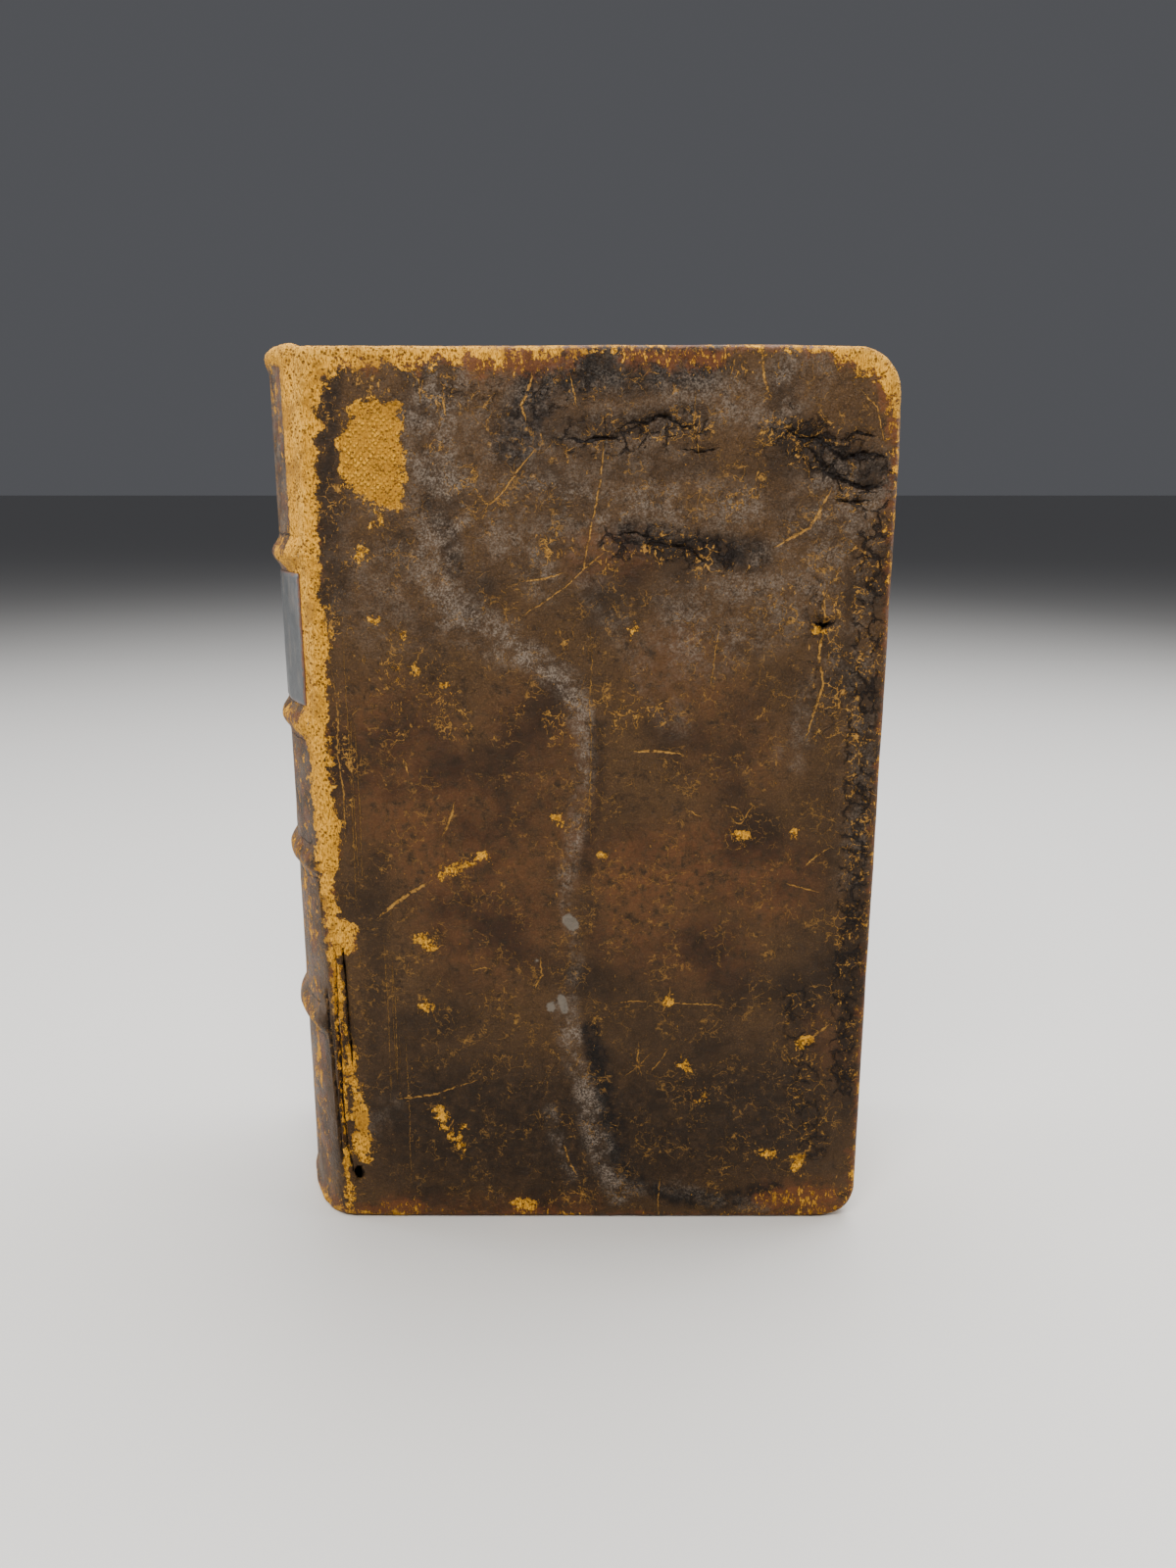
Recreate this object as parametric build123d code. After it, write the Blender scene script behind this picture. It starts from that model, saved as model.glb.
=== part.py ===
"""Antique leather-bound book with four raised bands, standing shut on its tail edges.

Hand bookbinding, in millimetres. +Z is up, towards the head of the book. The spine is at -X, the fore edge at +X
and the front cover faces -Y. The origin is at the bottom centre of the whole book.

Each cover is a laced-in pasteboard in its own leather, and turns about an upright line in the middle of the joint
leather. The leaves, the spine leather, the cords and the endbands stay together. Every part is written to parts/.
"""

import os
from math import asin, degrees, sqrt

from build123d import *

# ---- Leaves -------------------------------------------------------------------------------------------------------
leaf_width = 129.5  # from the fold at the spine to the fore edge
leaf_height = 203.6
text_thickness = 47.6  # all the gatherings, pressed
paper_thickness = 0.3  # an endpaper with its paste

# ---- Covers -------------------------------------------------------------------------------------------------------
square = 3.2  # how far the covers stand out past the leaves at head, tail and fore edge
board_thickness = 3.4
leather_thickness = 1.2
turn_in_thickness = 0.8  # the leather is pared where it is turned in
turn_in_width = 14.0
cover_corner_radius = 9.0  # fore-edge corners, rounded by wear
leather_edge_radius = 1.1  # the leather's roll over the edge of the board
pastedown_margin = 4.0  # turned-in leather left showing round the pastedown
joint_width = 1.6  # bare leather from the hinge line to the edge of the board
shoulder_inset = 0.8  # backing turned the outer gatherings over as deep as the board, less this

# ---- Spine --------------------------------------------------------------------------------------------------------
spine_radius = 44.0  # outer face of the leather between the bands
lining_thickness = 0.4
band_height = 1.8  # how far the bands stand up from the leather
cord_radius = 1.5
band_heights = (53.0, 94.0, 127.6, 166.0)  # centre of each band above the tail
band_root_radius = 1.4  # where the leather runs from a band onto the panel
headcap_drop = 13.0  # depth of the leather turned in at head and tail of the spine
endband_radius = 1.1
label_panel = 3  # the panel that carries the label, counted from the tail, starting at 0
label_thickness = 0.3
label_margin = 4.2  # from the centre of a band to the label's edge
label_half_width = 27.0  # across the book, from its middle plane

# ---- Lacing: each cord is laced through the board and fanned out on its inner face ---------------------------------
slip_width = 4.4
slip_thickness = 1.2
slip_hole_radius = 1.5
slip_run = 9.0  # from the edge of the board to its hole
slip_lead = 0.6  # how far it stands out of the board's edge, towards its cord
slip_fan_radius = 5.0
slip_fan_thickness = 0.5

# ---- Clearances ---------------------------------------------------------------------------------------------------
shut_gap = 0.2  # between a pastedown and the flyleaf that it shuts on
hinge_gap = 0.3  # between the moving joint leather and the spine
board_gap = 0.6  # between the edge of the board and the shoulder, measured across the book
endband_gap = 0.1  # between an endband and the headcap over it

# ---- Levels and lines that follow from the sizes -------------------------------------------------------------------
text_half = text_thickness / 2
flyleaf_y = text_half + paper_thickness
pastedown_y = flyleaf_y + shut_gap
turn_in_y = pastedown_y + paper_thickness
board_inner_y = turn_in_y + turn_in_thickness
board_outer_y = board_inner_y + board_thickness
face_y = board_outer_y + leather_thickness
hinge_y = face_y - leather_thickness / 2

cover_height = leaf_height + 2 * square
text_bottom = square
text_top = text_bottom + leaf_height

lining_radius = spine_radius - leather_thickness
text_radius = lining_radius - lining_thickness
cord_line_radius = spine_radius + band_height - leather_thickness - cord_radius
rounding = text_radius - sqrt(text_radius**2 - text_half**2)  # how far the round draws the middle leaves back

# The spine is round about one upright line. Its place puts the middle of the whole book at x = 0.
right_reach = leaf_width + square - sqrt(text_radius**2 - text_half**2)
left_reach = spine_radius + band_height
centre_x = (left_reach - right_reach) / 2
leaf_edge_x = centre_x + right_reach - square
fore_edge_x = leaf_edge_x + square
hinge_x = centre_x - sqrt((spine_radius - leather_thickness / 2) ** 2 - hinge_y**2)
board_edge_x = hinge_x + joint_width

spine_limit_y = board_outer_y - hinge_gap  # nothing on the spine reaches out past this
tip_y = board_outer_y - shoulder_inset
tip_x = centre_x - sqrt(text_radius**2 - tip_y**2)
shoulder_x = tip_x + tip_y - text_half  # the shoulder slopes at 45 degrees

spine_sweep = 2 * degrees(asin(spine_limit_y / text_radius)) + 20.0  # past both joints, before it is cut to them
endband_sweep = 2 * degrees(asin((text_half - endband_radius) / text_radius))


def block(x0, x1, y0, y1, z0, z1):
    """A box between two corners."""
    centre = Pos((x0 + x1) / 2, (y0 + y1) / 2, (z0 + z1) / 2)
    return centre * Box(abs(x1 - x0), abs(y1 - y0), abs(z1 - z0))


def round_fore_edge(slab, radius):
    """Rounds the two upright-cover corners at the fore edge."""
    corners = slab.edges().filter_by(Axis.Y).sort_by(Axis.X)[-2:]
    return fillet(corners, radius)


def upright(outline, z0, z1):
    """A plan outline pulled up from z0 to z1."""
    face = make_face(outline)
    return Pos(0, 0, z0) * extrude(face, z1 - z0, dir=(0, 0, 1))


def round_spine(profile, sweep):
    """Turns a profile, drawn as radius and height, about the spine's centre line, evenly to both sides of -X."""
    ring = revolve(profile, axis=Axis.Z, revolution_arc=sweep)
    return Pos(centre_x, 0, 0) * Rot(0, 0, 180 - sweep / 2) * ring


def profile_rectangle(r0, r1, z0, z1):
    """A rectangle in the profile plane of round_spine."""
    return Plane.XZ * Pos((r0 + r1) / 2, (z0 + z1) / 2) * Rectangle(r1 - r0, z1 - z0)


def profile_circle(r, z, radius):
    """A circle in the profile plane of round_spine."""
    return Plane.XZ * Pos(r, z) * Circle(radius)


def spine_envelope():
    """What the spine may fill: everything between the joints, cut back along both shoulders."""
    left = centre_x - left_reach - 1
    limit_x = tip_x + (tip_y - spine_limit_y)
    outline = Polyline(
        (left, -spine_limit_y),
        (limit_x, -spine_limit_y),
        (shoulder_x, -text_half),
        (centre_x, -text_half),
        (centre_x, text_half),
        (shoulder_x, text_half),
        (limit_x, spine_limit_y),
        (left, spine_limit_y),
        close=True,
    )
    return upright(outline, -1, cover_height + 1)


def text_block():
    """The sewn, rounded and backed gatherings: one solid, with a seat for each cord."""
    tip_front, tip_back = (tip_x, -tip_y), (tip_x, tip_y)
    corner_front, corner_back = (leaf_edge_x, -text_half), (leaf_edge_x, text_half)
    outline = [
        ThreePointArc(tip_front, (centre_x - text_radius, 0), tip_back),
        Polyline(tip_back, (shoulder_x, text_half), corner_back),
        ThreePointArc(corner_back, (leaf_edge_x - rounding, 0), corner_front),
        Polyline(corner_front, (shoulder_x, -text_half), tip_front),
    ]
    leaves = upright(outline, text_bottom, text_top)
    for z in band_heights:
        leaves -= round_spine(profile_circle(cord_line_radius, z, cord_radius), spine_sweep)
    return leaves


def sewing_cord(z):
    """One hemp cord across the spine, under its band."""
    return round_spine(profile_circle(cord_line_radius, z, cord_radius), spine_sweep) & spine_envelope()


def panel_limits(panel):
    """Lowest and highest point of the lining in one panel of the spine, counted from the tail."""
    edges = [text_bottom + headcap_drop]
    for z in band_heights:
        edges += [z - cord_radius, z + cord_radius]
    edges.append(text_top - headcap_drop)
    return edges[2 * panel], edges[2 * panel + 1]


def spine_lining(panel):
    """The paper pasted on the folds between two cords."""
    low, high = panel_limits(panel)
    return round_spine(profile_rectangle(text_radius, lining_radius, low, high), spine_sweep) & spine_envelope()


def spine_leather():
    """The leather across the spine, drawn over the cords and turned in at head and tail over the endbands."""
    profile = profile_rectangle(lining_radius, spine_radius, 0, cover_height)
    for z in band_heights:
        profile += profile_circle(cord_line_radius, z, cord_radius + leather_thickness)
    roots = [v for v in profile.vertices() if abs(v.X - spine_radius) < 0.01 and 0.1 < v.Z < cover_height - 0.1]
    profile = fillet(roots, band_root_radius)
    lip = 2 * endband_radius + endband_gap
    for z_end, inward in ((0, 1), (cover_height, -1)):
        fold = z_end + inward * (square + headcap_drop)
        cap = z_end + inward * (square - lip)
        profile += profile_rectangle(text_radius, lining_radius, *sorted((z_end, fold)))
        profile += profile_rectangle(text_radius - 2 * endband_radius, text_radius, *sorted((z_end, cap)))
    profile -= profile_rectangle(text_radius - 3 * endband_radius, lining_radius, text_bottom + headcap_drop,
                                 text_top - headcap_drop)
    for z in band_heights:
        profile -= profile_circle(cord_line_radius, z, cord_radius)
    ends = [v for v in profile.vertices() if abs(v.X - spine_radius) < 0.01 and not 0.1 < v.Z < cover_height - 0.1]
    profile = fillet(ends, leather_edge_radius)
    return round_spine(profile, spine_sweep) & spine_envelope()


def spine_label():
    """The thin leather label on its panel."""
    low = band_heights[label_panel - 1] + label_margin
    high = band_heights[label_panel] - label_margin
    strip = round_spine(profile_rectangle(spine_radius, spine_radius + label_thickness, low, high), spine_sweep)
    side = centre_x - left_reach - 1
    return strip & block(side, centre_x, -label_half_width, label_half_width, 0, cover_height)


def endband(z):
    """The wound core that is sewn to the end of the folds."""
    return round_spine(profile_circle(text_radius - endband_radius, z, endband_radius), endband_sweep)


def flyleaf():
    """The free endpaper on the front of the leaves."""
    return block(shoulder_x, leaf_edge_x, -flyleaf_y, -text_half, text_bottom, text_top)


def cord_slip(z):
    """The end of a cord: flat along the outside of the front board, down its hole, and fanned out inside."""
    hole_x = board_edge_x + slip_run
    strap = block(board_edge_x - slip_lead, hole_x + slip_hole_radius, -board_outer_y,
                  -board_outer_y + slip_thickness, z - slip_width / 2, z + slip_width / 2)
    across = Rot(90, 0, 0)
    through = Pos(hole_x, -(board_inner_y + board_outer_y) / 2, z) * across * Cylinder(slip_hole_radius, board_thickness)
    fan_y = -board_inner_y - slip_fan_thickness / 2
    fan = Pos(hole_x, fan_y, z) * across * Cylinder(slip_fan_radius, slip_fan_thickness)
    return strap + through + fan


def board():
    """The front pasteboard, bevelled to sit against the shoulder and cut for the laced cords."""
    bevel_y = tip_y - (joint_width - (tip_x - hinge_x) - board_gap)
    bevel_x = tip_x + (tip_y - board_inner_y) + board_gap
    right = fore_edge_x - leather_thickness
    outline = Polyline(
        (board_edge_x, -board_outer_y),
        (right, -board_outer_y),
        (right, -board_inner_y),
        (bevel_x, -board_inner_y),
        (board_edge_x, -bevel_y),
        close=True,
    )
    slab = upright(outline, leather_thickness, cover_height - leather_thickness)
    slab = round_fore_edge(slab, cover_corner_radius - leather_thickness)
    for z in band_heights:
        slab -= cord_slip(z)
    return slab


def cover_leather():
    """The front cover's leather: its face, the roll over three edges, the turn-ins and the bead in the joint."""
    whole = block(hinge_x, fore_edge_x, -face_y, -turn_in_y, 0, cover_height)
    whole = round_fore_edge(whole, cover_corner_radius)
    rim = [e for e in whole.faces().sort_by(Axis.Y)[0].edges() if e.center().X > hinge_x + 1]
    whole = fillet(rim, leather_edge_radius)
    pocket = block(board_edge_x, fore_edge_x - leather_thickness, -board_outer_y, -board_inner_y,
                   leather_thickness, cover_height - leather_thickness)
    whole -= round_fore_edge(pocket, cover_corner_radius - leather_thickness)
    whole -= block(hinge_x - 1, board_edge_x, -board_outer_y, 0, -1, cover_height + 1)
    whole -= block(hinge_x - 1, fore_edge_x - turn_in_width, -board_inner_y, 0,
                   turn_in_width, cover_height - turn_in_width)
    for low, high in ((0, turn_in_width), (cover_height - turn_in_width, cover_height)):
        whole -= slope_past_shoulder(low, high)
    bead = Pos(hinge_x, -hinge_y, cover_height / 2) * Cylinder(leather_thickness / 2, cover_height)
    return whole + bead


def slope_past_shoulder(low, high):
    """The wedge that keeps the turn-ins and edge walls as far from the shoulder as the board is."""
    reach = board_gap + tip_x
    outline = Polyline(
        (board_edge_x - 1, -board_outer_y),
        (reach + tip_y - board_outer_y, -board_outer_y),
        (reach + tip_y - turn_in_y + 1, -turn_in_y + 1),
        (board_edge_x - 1, -turn_in_y + 1),
        close=True,
    )
    return upright(outline, low - 1, high + 1)


def pastedown():
    """The endpaper pasted inside the front cover. It steps up over the turn-ins."""
    left = board_edge_x + pastedown_margin
    right = fore_edge_x - pastedown_margin
    low, high = pastedown_margin, cover_height - pastedown_margin
    sheet = block(left, right, -board_inner_y, -pastedown_y, low, high)
    sheet = round_fore_edge(sheet, cover_corner_radius - pastedown_margin)
    inner_right = fore_edge_x - turn_in_width
    inner_low, inner_high = turn_in_width, cover_height - turn_in_width
    frame = block(left - 1, right + 1, -board_inner_y, -turn_in_y, low - 1, high + 1)
    frame -= block(left - 2, inner_right, -board_inner_y, -turn_in_y, inner_low, inner_high)
    step = paper_thickness
    hollow = block(left - 1, inner_right - step, -board_inner_y + step, -pastedown_y + 1,
                   inner_low + step, inner_high - step)
    return sheet - frame - hollow


def back(shape):
    """The same piece on the back of the book."""
    return mirror(shape, about=Plane.XZ)


def all_parts():
    """Every part by the name of its file."""
    parts = {
        "text_block": text_block(),
        "spine_leather": spine_leather(),
        "spine_label": spine_label(),
        "headband": endband(text_top + endband_radius),
        "tailband": endband(text_bottom - endband_radius),
    }
    for panel in range(len(band_heights) + 1):
        parts[f"spine_lining_{panel + 1}"] = spine_lining(panel)
    front = {"flyleaf": flyleaf(), "board": board(), "cover_leather": cover_leather(), "pastedown": pastedown()}
    for number, z in enumerate(band_heights, start=1):
        parts[f"sewing_cord_{number}"] = sewing_cord(z)
        front[f"cord_slip_{number}"] = cord_slip(z)
    for name, shape in front.items():
        parts[f"front_{name}"] = shape
        parts[f"back_{name}"] = back(shape)
    return parts


os.makedirs("parts", exist_ok=True)
for part_name, part_shape in all_parts().items():
    export_step(part_shape, f"parts/{part_name}.step")
print(f"book {fore_edge_x - centre_x + left_reach:.1f} x {2 * face_y:.1f} x {cover_height:.1f} mm")
print(f"hinge line at x {hinge_x:.3f}, y {hinge_y:.3f}")
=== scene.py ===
"""Looks of an antique leather book: the worn hide, the label, the papers, the leaves and the studio."""

from math import asin, cos, pi, radians, sqrt

import bmesh
import bpy
import numpy as np
from bpy.props import FloatProperty, FloatVectorProperty, PointerProperty
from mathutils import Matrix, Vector


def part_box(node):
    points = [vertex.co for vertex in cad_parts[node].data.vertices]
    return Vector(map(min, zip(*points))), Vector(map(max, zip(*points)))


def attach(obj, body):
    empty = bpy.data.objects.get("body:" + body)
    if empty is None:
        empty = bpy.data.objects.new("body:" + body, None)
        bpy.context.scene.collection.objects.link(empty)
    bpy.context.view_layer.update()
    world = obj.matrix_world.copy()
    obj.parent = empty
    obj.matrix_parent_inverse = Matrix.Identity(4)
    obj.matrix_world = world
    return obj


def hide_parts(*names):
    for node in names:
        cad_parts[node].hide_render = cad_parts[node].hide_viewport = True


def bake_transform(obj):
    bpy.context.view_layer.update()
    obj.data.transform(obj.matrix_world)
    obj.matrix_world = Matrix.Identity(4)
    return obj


bl_info = {
    "name": "Antique leather book",
    "version": (1, 0, 0),
    "blender": (4, 5, 0),
    "location": "3D View > Sidebar > Book",
    "description": "Dresses the bound book in worn leather, paper and thread",
    "category": "Add Mesh",
}

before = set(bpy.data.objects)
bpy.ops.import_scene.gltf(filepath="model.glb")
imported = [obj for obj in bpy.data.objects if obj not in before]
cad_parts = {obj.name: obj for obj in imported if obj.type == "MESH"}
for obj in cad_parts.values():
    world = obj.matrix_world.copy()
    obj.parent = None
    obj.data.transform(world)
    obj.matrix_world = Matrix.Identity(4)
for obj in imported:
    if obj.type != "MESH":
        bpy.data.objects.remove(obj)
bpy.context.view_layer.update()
MM = 0.001
LEAVES, FRONT, BACK = "leaves_and_spine", "front_cover", "back_cover"


# ---- Measures in millimetres, from the frame -----------------------------------------------------
def corners(node):
    """Lowest and highest corner of a CAD node, in millimetres."""
    low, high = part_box(node)
    return Vector(low) / MM, Vector(high) / MM


hide_low, hide_high = corners("front_cover_leather")
text_low, _ = corners("text_block")
board_low, board_high = corners("front_board")
label_low, label_high = corners("spine_label")
paste_low, paste_high = corners("front_pastedown")
fly_low, fly_high = corners("front_flyleaf")
HEIGHT = hide_high.z
FACE_Y = -hide_low.y  # how far the cover's face is from the middle plane
LEATHER = board_low.y - hide_low.y
BAND_HEIGHTS = [(a.z + b.z) / 2 for a, b in (corners(f"sewing_cord_{n}") for n in (1, 2, 3, 4))]
# The spine is round about an upright line. The label lies on it, so its half width and its rise give
# the radius.
LABEL_THICKNESS = 0.3
label_rise = label_high.x - label_low.x - LABEL_THICKNESS
SPINE_RADIUS = (label_high.y**2 + label_rise**2) / (2 * label_rise)
CENTRE_X = label_low.x + LABEL_THICKNESS + SPINE_RADIUS
JOINT_ANGLE = asin(FACE_Y / SPINE_RADIUS)
CORNER_X = CENTRE_X - SPINE_RADIUS * cos(JOINT_ANGLE)  # where the round spine would meet the cover's face
SPINE_ARC = SPINE_RADIUS * JOINT_ANGLE  # round the spine from its middle to that corner
FACE_LENGTH = hide_high.x - CORNER_X
COVER_DEPTH = hide_high.y - hide_low.y
SEAM = -11.0  # the cover's hide is divided from the spine's here, this far round the spine from its corner
MARKS_ZERO = 62.8  # marks on a cover are placed from an upright line this far from that corner
UNMARKED_DISTANCE = 9  # a place this far from a mark counts as having none


# ---- Sizes and colours a user may change ---------------------------------------------------------
def length(name, description, millimetres):
    """A length for the panel, stored in metres."""
    return FloatProperty(name=name, description=description, default=millimetres * MM, min=0, precision=5,
                         unit="LENGTH")


def colour(name, description, shade):
    """A colour for the panel, in linear light."""
    return FloatVectorProperty(name=name, description=description, default=(*shade, 1), size=4, min=0, max=1,
                               subtype="COLOR")


def share(name, description, default):
    """A share from 0 to 1 for the panel."""
    return FloatProperty(name=name, description=description, default=default, min=0, max=1, subtype="FACTOR")


class BookSizes(bpy.types.PropertyGroup):
    """Lengths of the leather work and the papers."""

    front_grid: length("Front mesh spacing", "Gap between rows of points on the front cover's hide", 0.74)
    back_grid: length("Back mesh spacing", "Gap between rows of points on the back cover's hide", 1.0)
    spine_grid: length("Spine mesh spacing", "Gap between rows of points on the spine's hide", 0.6)
    edge_roll: length("Edge roll", "Outer radius where the hide turns over a board's edge", 1.35)
    turn_roll: length("Turn-in roll", "Outer radius where the hide turns onto the inside of a board", 0.55)
    turn_in: length("Turn-in", "Width of hide turned in on a board's inside", 12.4)
    head_corner: length("Head corner", "Radius of a cover's corner at the head", 10.0)
    tail_corner: length("Tail corner", "Radius of a cover's corner at the tail", 8.5)
    joint_round: length("Joint rounding", "How far each side of the joint's corner is rounded", 2.4)
    joint_depth: length("Joint depth", "Depth of the hide's edge in the joint", 2.0)
    cap_depth: length("Cap depth", "How far the headcap covers the headband", 3.8)
    band_rise: length("Band rise", "How far a raised band stands out of the spine", 1.8)
    groove_depth: length("Groove depth", "Depth of the groove beside the joint", 0.5)
    label_rise: length("Label rise", "How far the label stands out of the spine", 0.3)
    fold_thickness: length("Endpaper fold", "Thickness of the endpaper where it bends at the joint", 0.14)


class BookColours(bpy.types.PropertyGroup):
    """Colours of the leather, papers and thread."""

    leather: colour("Leather", "Glazed face of the hide", (0.054, 0.0280, 0.0105))
    # Dark leather is used for grime and also for painted shade over the front cover's lower third.
    leather_dark: colour("Dark leather", "Grimy parts of the hide", (0.0050, 0.0033, 0.0026))
    leather_red: colour("Red leather", "Hide rubbed through its glaze", (0.135, 0.044, 0.013))
    suede: colour("Bare suede", "Hide with its face worn away", (0.78, 0.37, 0.022))
    suede_dark: colour("Dark suede", "Pores and dirt in the bare hide", (0.11, 0.038, 0.006))
    suede_pale: colour("Pale suede", "Fibres at the sharpest edges", (0.86, 0.52, 0.12))
    # Dust is also painted light, lightening the front cover's upper right.
    dust: colour("Dust", "Grey bloom on the hide", (0.17, 0.135, 0.105))
    label: colour("Label", "Leather of the spine label", (0.034, 0.038, 0.041))
    paper: colour("Paper", "Endpapers", (0.66, 0.56, 0.39))
    leaf: colour("Leaf edges", "Edges of the leaves", (0.60, 0.49, 0.32))
    board: colour("Board", "Pasteboard", (0.30, 0.23, 0.15))
    hemp: colour("Hemp", "Sewing cords and slips", (0.36, 0.27, 0.15))
    thread: colour("Thread", "Endband thread", (0.62, 0.52, 0.36))
    thread_second: colour("Second thread", "Endband thread in the other colour", (0.11, 0.16, 0.24))
    floor: colour("Floor", "Studio floor", (0.50, 0.49, 0.475))


class BookWear(bpy.types.PropertyGroup):
    """How strongly each kind of age shows."""

    grain: share("Grain", "Strength of the leather's grain", 0.55)
    raggedness: share("Raggedness", "How ragged the worn areas' edges are", 0.6)
    flecks: share("Flecks", "How many small specks are rubbed off the face", 0.9)
    # Dust also sets the strength of the painted light at the front cover's upper right.
    dust: share("Dust", "Strength of the grey bloom", 0.75)
    foxing: share("Foxing", "Brown spots on the papers", 0.4)


def size(name):
    """One of the book's sizes, in millimetres."""
    return getattr(bpy.context.scene.book_sizes, name) / MM


def shade(name):
    """One of the book's colours."""
    return tuple(getattr(bpy.context.scene.book_colours, name))


def wear(name):
    """How strongly one kind of age shows."""
    return getattr(bpy.context.scene.book_wear, name)


# ---- Shapes of the marks -------------------------------------------------------------------------
def step(x, low, high):
    """Smooth step from 0 at low to 1 at high."""
    t = np.clip((x - low) / (high - low), 0, 1)
    return t * t * (3 - 2 * t)


def cloud(x, y, z, size, seed, octaves=1):
    """Smooth noise from -1 to 1 with patches about size across, the same every run."""
    total, weight, amount = 0, 0, 1.0
    for octave in range(octaves):
        table = np.random.default_rng(seed + octave).uniform(-1, 1, (32, 32, 32))
        scaled = [np.asarray(c, float) / size + 17.3 for c in (x, y, z)]
        cell = [np.floor(c).astype(int) for c in scaled]
        part = [c - b for c, b in zip(scaled, cell)]
        part = [t * t * (3 - 2 * t) for t in part]
        value = 0
        for corner in range(8):
            bits = [(corner >> k) & 1 for k in range(3)]
            share = 1
            for t, bit in zip(part, bits):
                share = share * (t if bit else 1 - t)
            value = value + share * table[tuple((b + bit) % 32 for b, bit in zip(cell, bits))]
        total, weight = total + amount * value, weight + amount
        size, amount = size / 2.1, amount * 0.55
    return total / weight


def along(points, x, z):
    """(signed distance, distance, share of the way) from the nearest place on an open line of points."""
    best = np.full(np.shape(x), 1e9)
    signed, share = np.full(np.shape(x), 1e9), np.zeros(np.shape(x))
    count = len(points) - 1
    for number, ((ax, az), (bx, bz)) in enumerate(zip(points, points[1:])):
        dx, dz = bx - ax, bz - az
        length = sqrt(dx * dx + dz * dz)
        t = np.clip(((x - ax) * dx + (z - az) * dz) / length**2, 0, 1)
        distance = np.hypot(x - ax - t * dx, z - az - t * dz)
        side = np.where((x - ax) * dz - (z - az) * dx >= 0, 1.0, -1.0)
        near = distance < best
        best = np.where(near, distance, best)
        signed = np.where(near, side * distance, signed)
        share = np.where(near, (number + t) / count, share)
    return signed, best, share


def lines_field(lines, x, z, reach=1.5):
    """Signed distance to the nearest line and that line's half width, which fades out away from it."""
    signed, width = np.full(x.shape, float(UNMARKED_DISTANCE)), np.zeros(x.shape)
    best = np.full(x.shape, 1e9)
    for points, half_width in lines:
        s, d, share = along(points, x, z)
        taper = np.sqrt(np.clip(4 * share * (1 - share) + 0.25, 0, 1))
        near = d < best
        signed = np.where(near, s, signed)
        width = np.where(near, half_width * taper * (1 - step(d, reach * 0.6, reach)), width)
        best = np.where(near, d, best)
    return np.clip(signed, -UNMARKED_DISTANCE, UNMARKED_DISTANCE), width


def blots(marks, x, z):
    """The strongest of several soft spots: (x, z, radius, strength) or (points, radius, strength)."""
    value = np.zeros(x.shape)
    for mark in marks:
        if len(mark) == 4:
            distance = np.hypot(x - mark[0], z - mark[1])
        else:
            distance = along(mark[0], x, z)[1]
        radius, strength = mark[-2:]
        value = np.maximum(value, strength * (1 - step(distance, radius * 0.25, radius)))
    return value


def spots(marks, x, z):
    """How far inside the nearest of several hard spots each place is, in millimetres."""
    return np.max([radius - along([(ax, az), (bx, bz)], x, z)[1] for ax, az, bx, bz, radius in marks], axis=0)


# ---- Marks on the front cover: x from the marks' zero, then height, in millimetres ---------------
STRIP_LEFT = (
    (0, 0.8), (40, 0.8), (60, 0.2), (80, -1.6), (100, -2.8), (120, -4.0), (150, -8.0), (200, -9.3),
    (210, -9.6),
)
STRIP_RIGHT = (
    (0, 2.4), (14, 2.0), (50, 2.2), (56, 2.6), (62, 2.4), (70, 2.0), (73, 6.6), (79, 7.0), (81, 2.2),
    (91, 2.0), (96, 4.0), (105, 4.2), (110, 2.6), (140, 2.9), (146, 4.3), (150, 3.9), (154, 2.8),
    (180, 2.7), (191, 3.4), (193, 5.4), (196, 3.9), (202, 6.0), (210, 7.5),
)
SECOND_STRIP = ((-57.5, 18, -57, 30, 2.0), (-57.6, 30, -59.2, 47, 1.0))
PATCH = (
    (-54.5, 181.5), (-54, 191), (-51, 197.5), (-47, 198.6), (-40.8, 198.3), (-40.6, 187), (-40.8, 176),
    (-46, 175.8), (-50, 178.5),
)
HEAD_WEAR = (
    (-70, 8.0), (-60, 6.4), (-52, 4.6), (-44, 4.4), (-36, 4.2), (-28, 3.0), (-20, 2.6), (-8, 1.6),
    (0, 0.4), (25, 0.3), (42, 0.7), (50, 2.0), (56, 4.6), (62, 7.6), (70, 9.5),
)
FORE_WEAR = (
    (0, 3.0), (6, 2.4), (14, 1.1), (25, 0.8), (60, 0.7), (100, 0.3), (150, 0.6), (170, 1.3), (186, 1.5),
    (193, 2.4), (200, 4.8), (205, 7.0), (210, 9.0),
)
TAIL_WEAR = (
    (-70, 5.0), (-60, 3.6), (-50, 2.4), (-38, 1.2), (-24, 0.6), (-18, 2.8), (-12, 2.2), (-4, 1.6),
    (4, 0.5), (30, 0.4), (44, 1.0), (52, 2.2), (60, 4.0), (70, 5.0),
)
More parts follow.
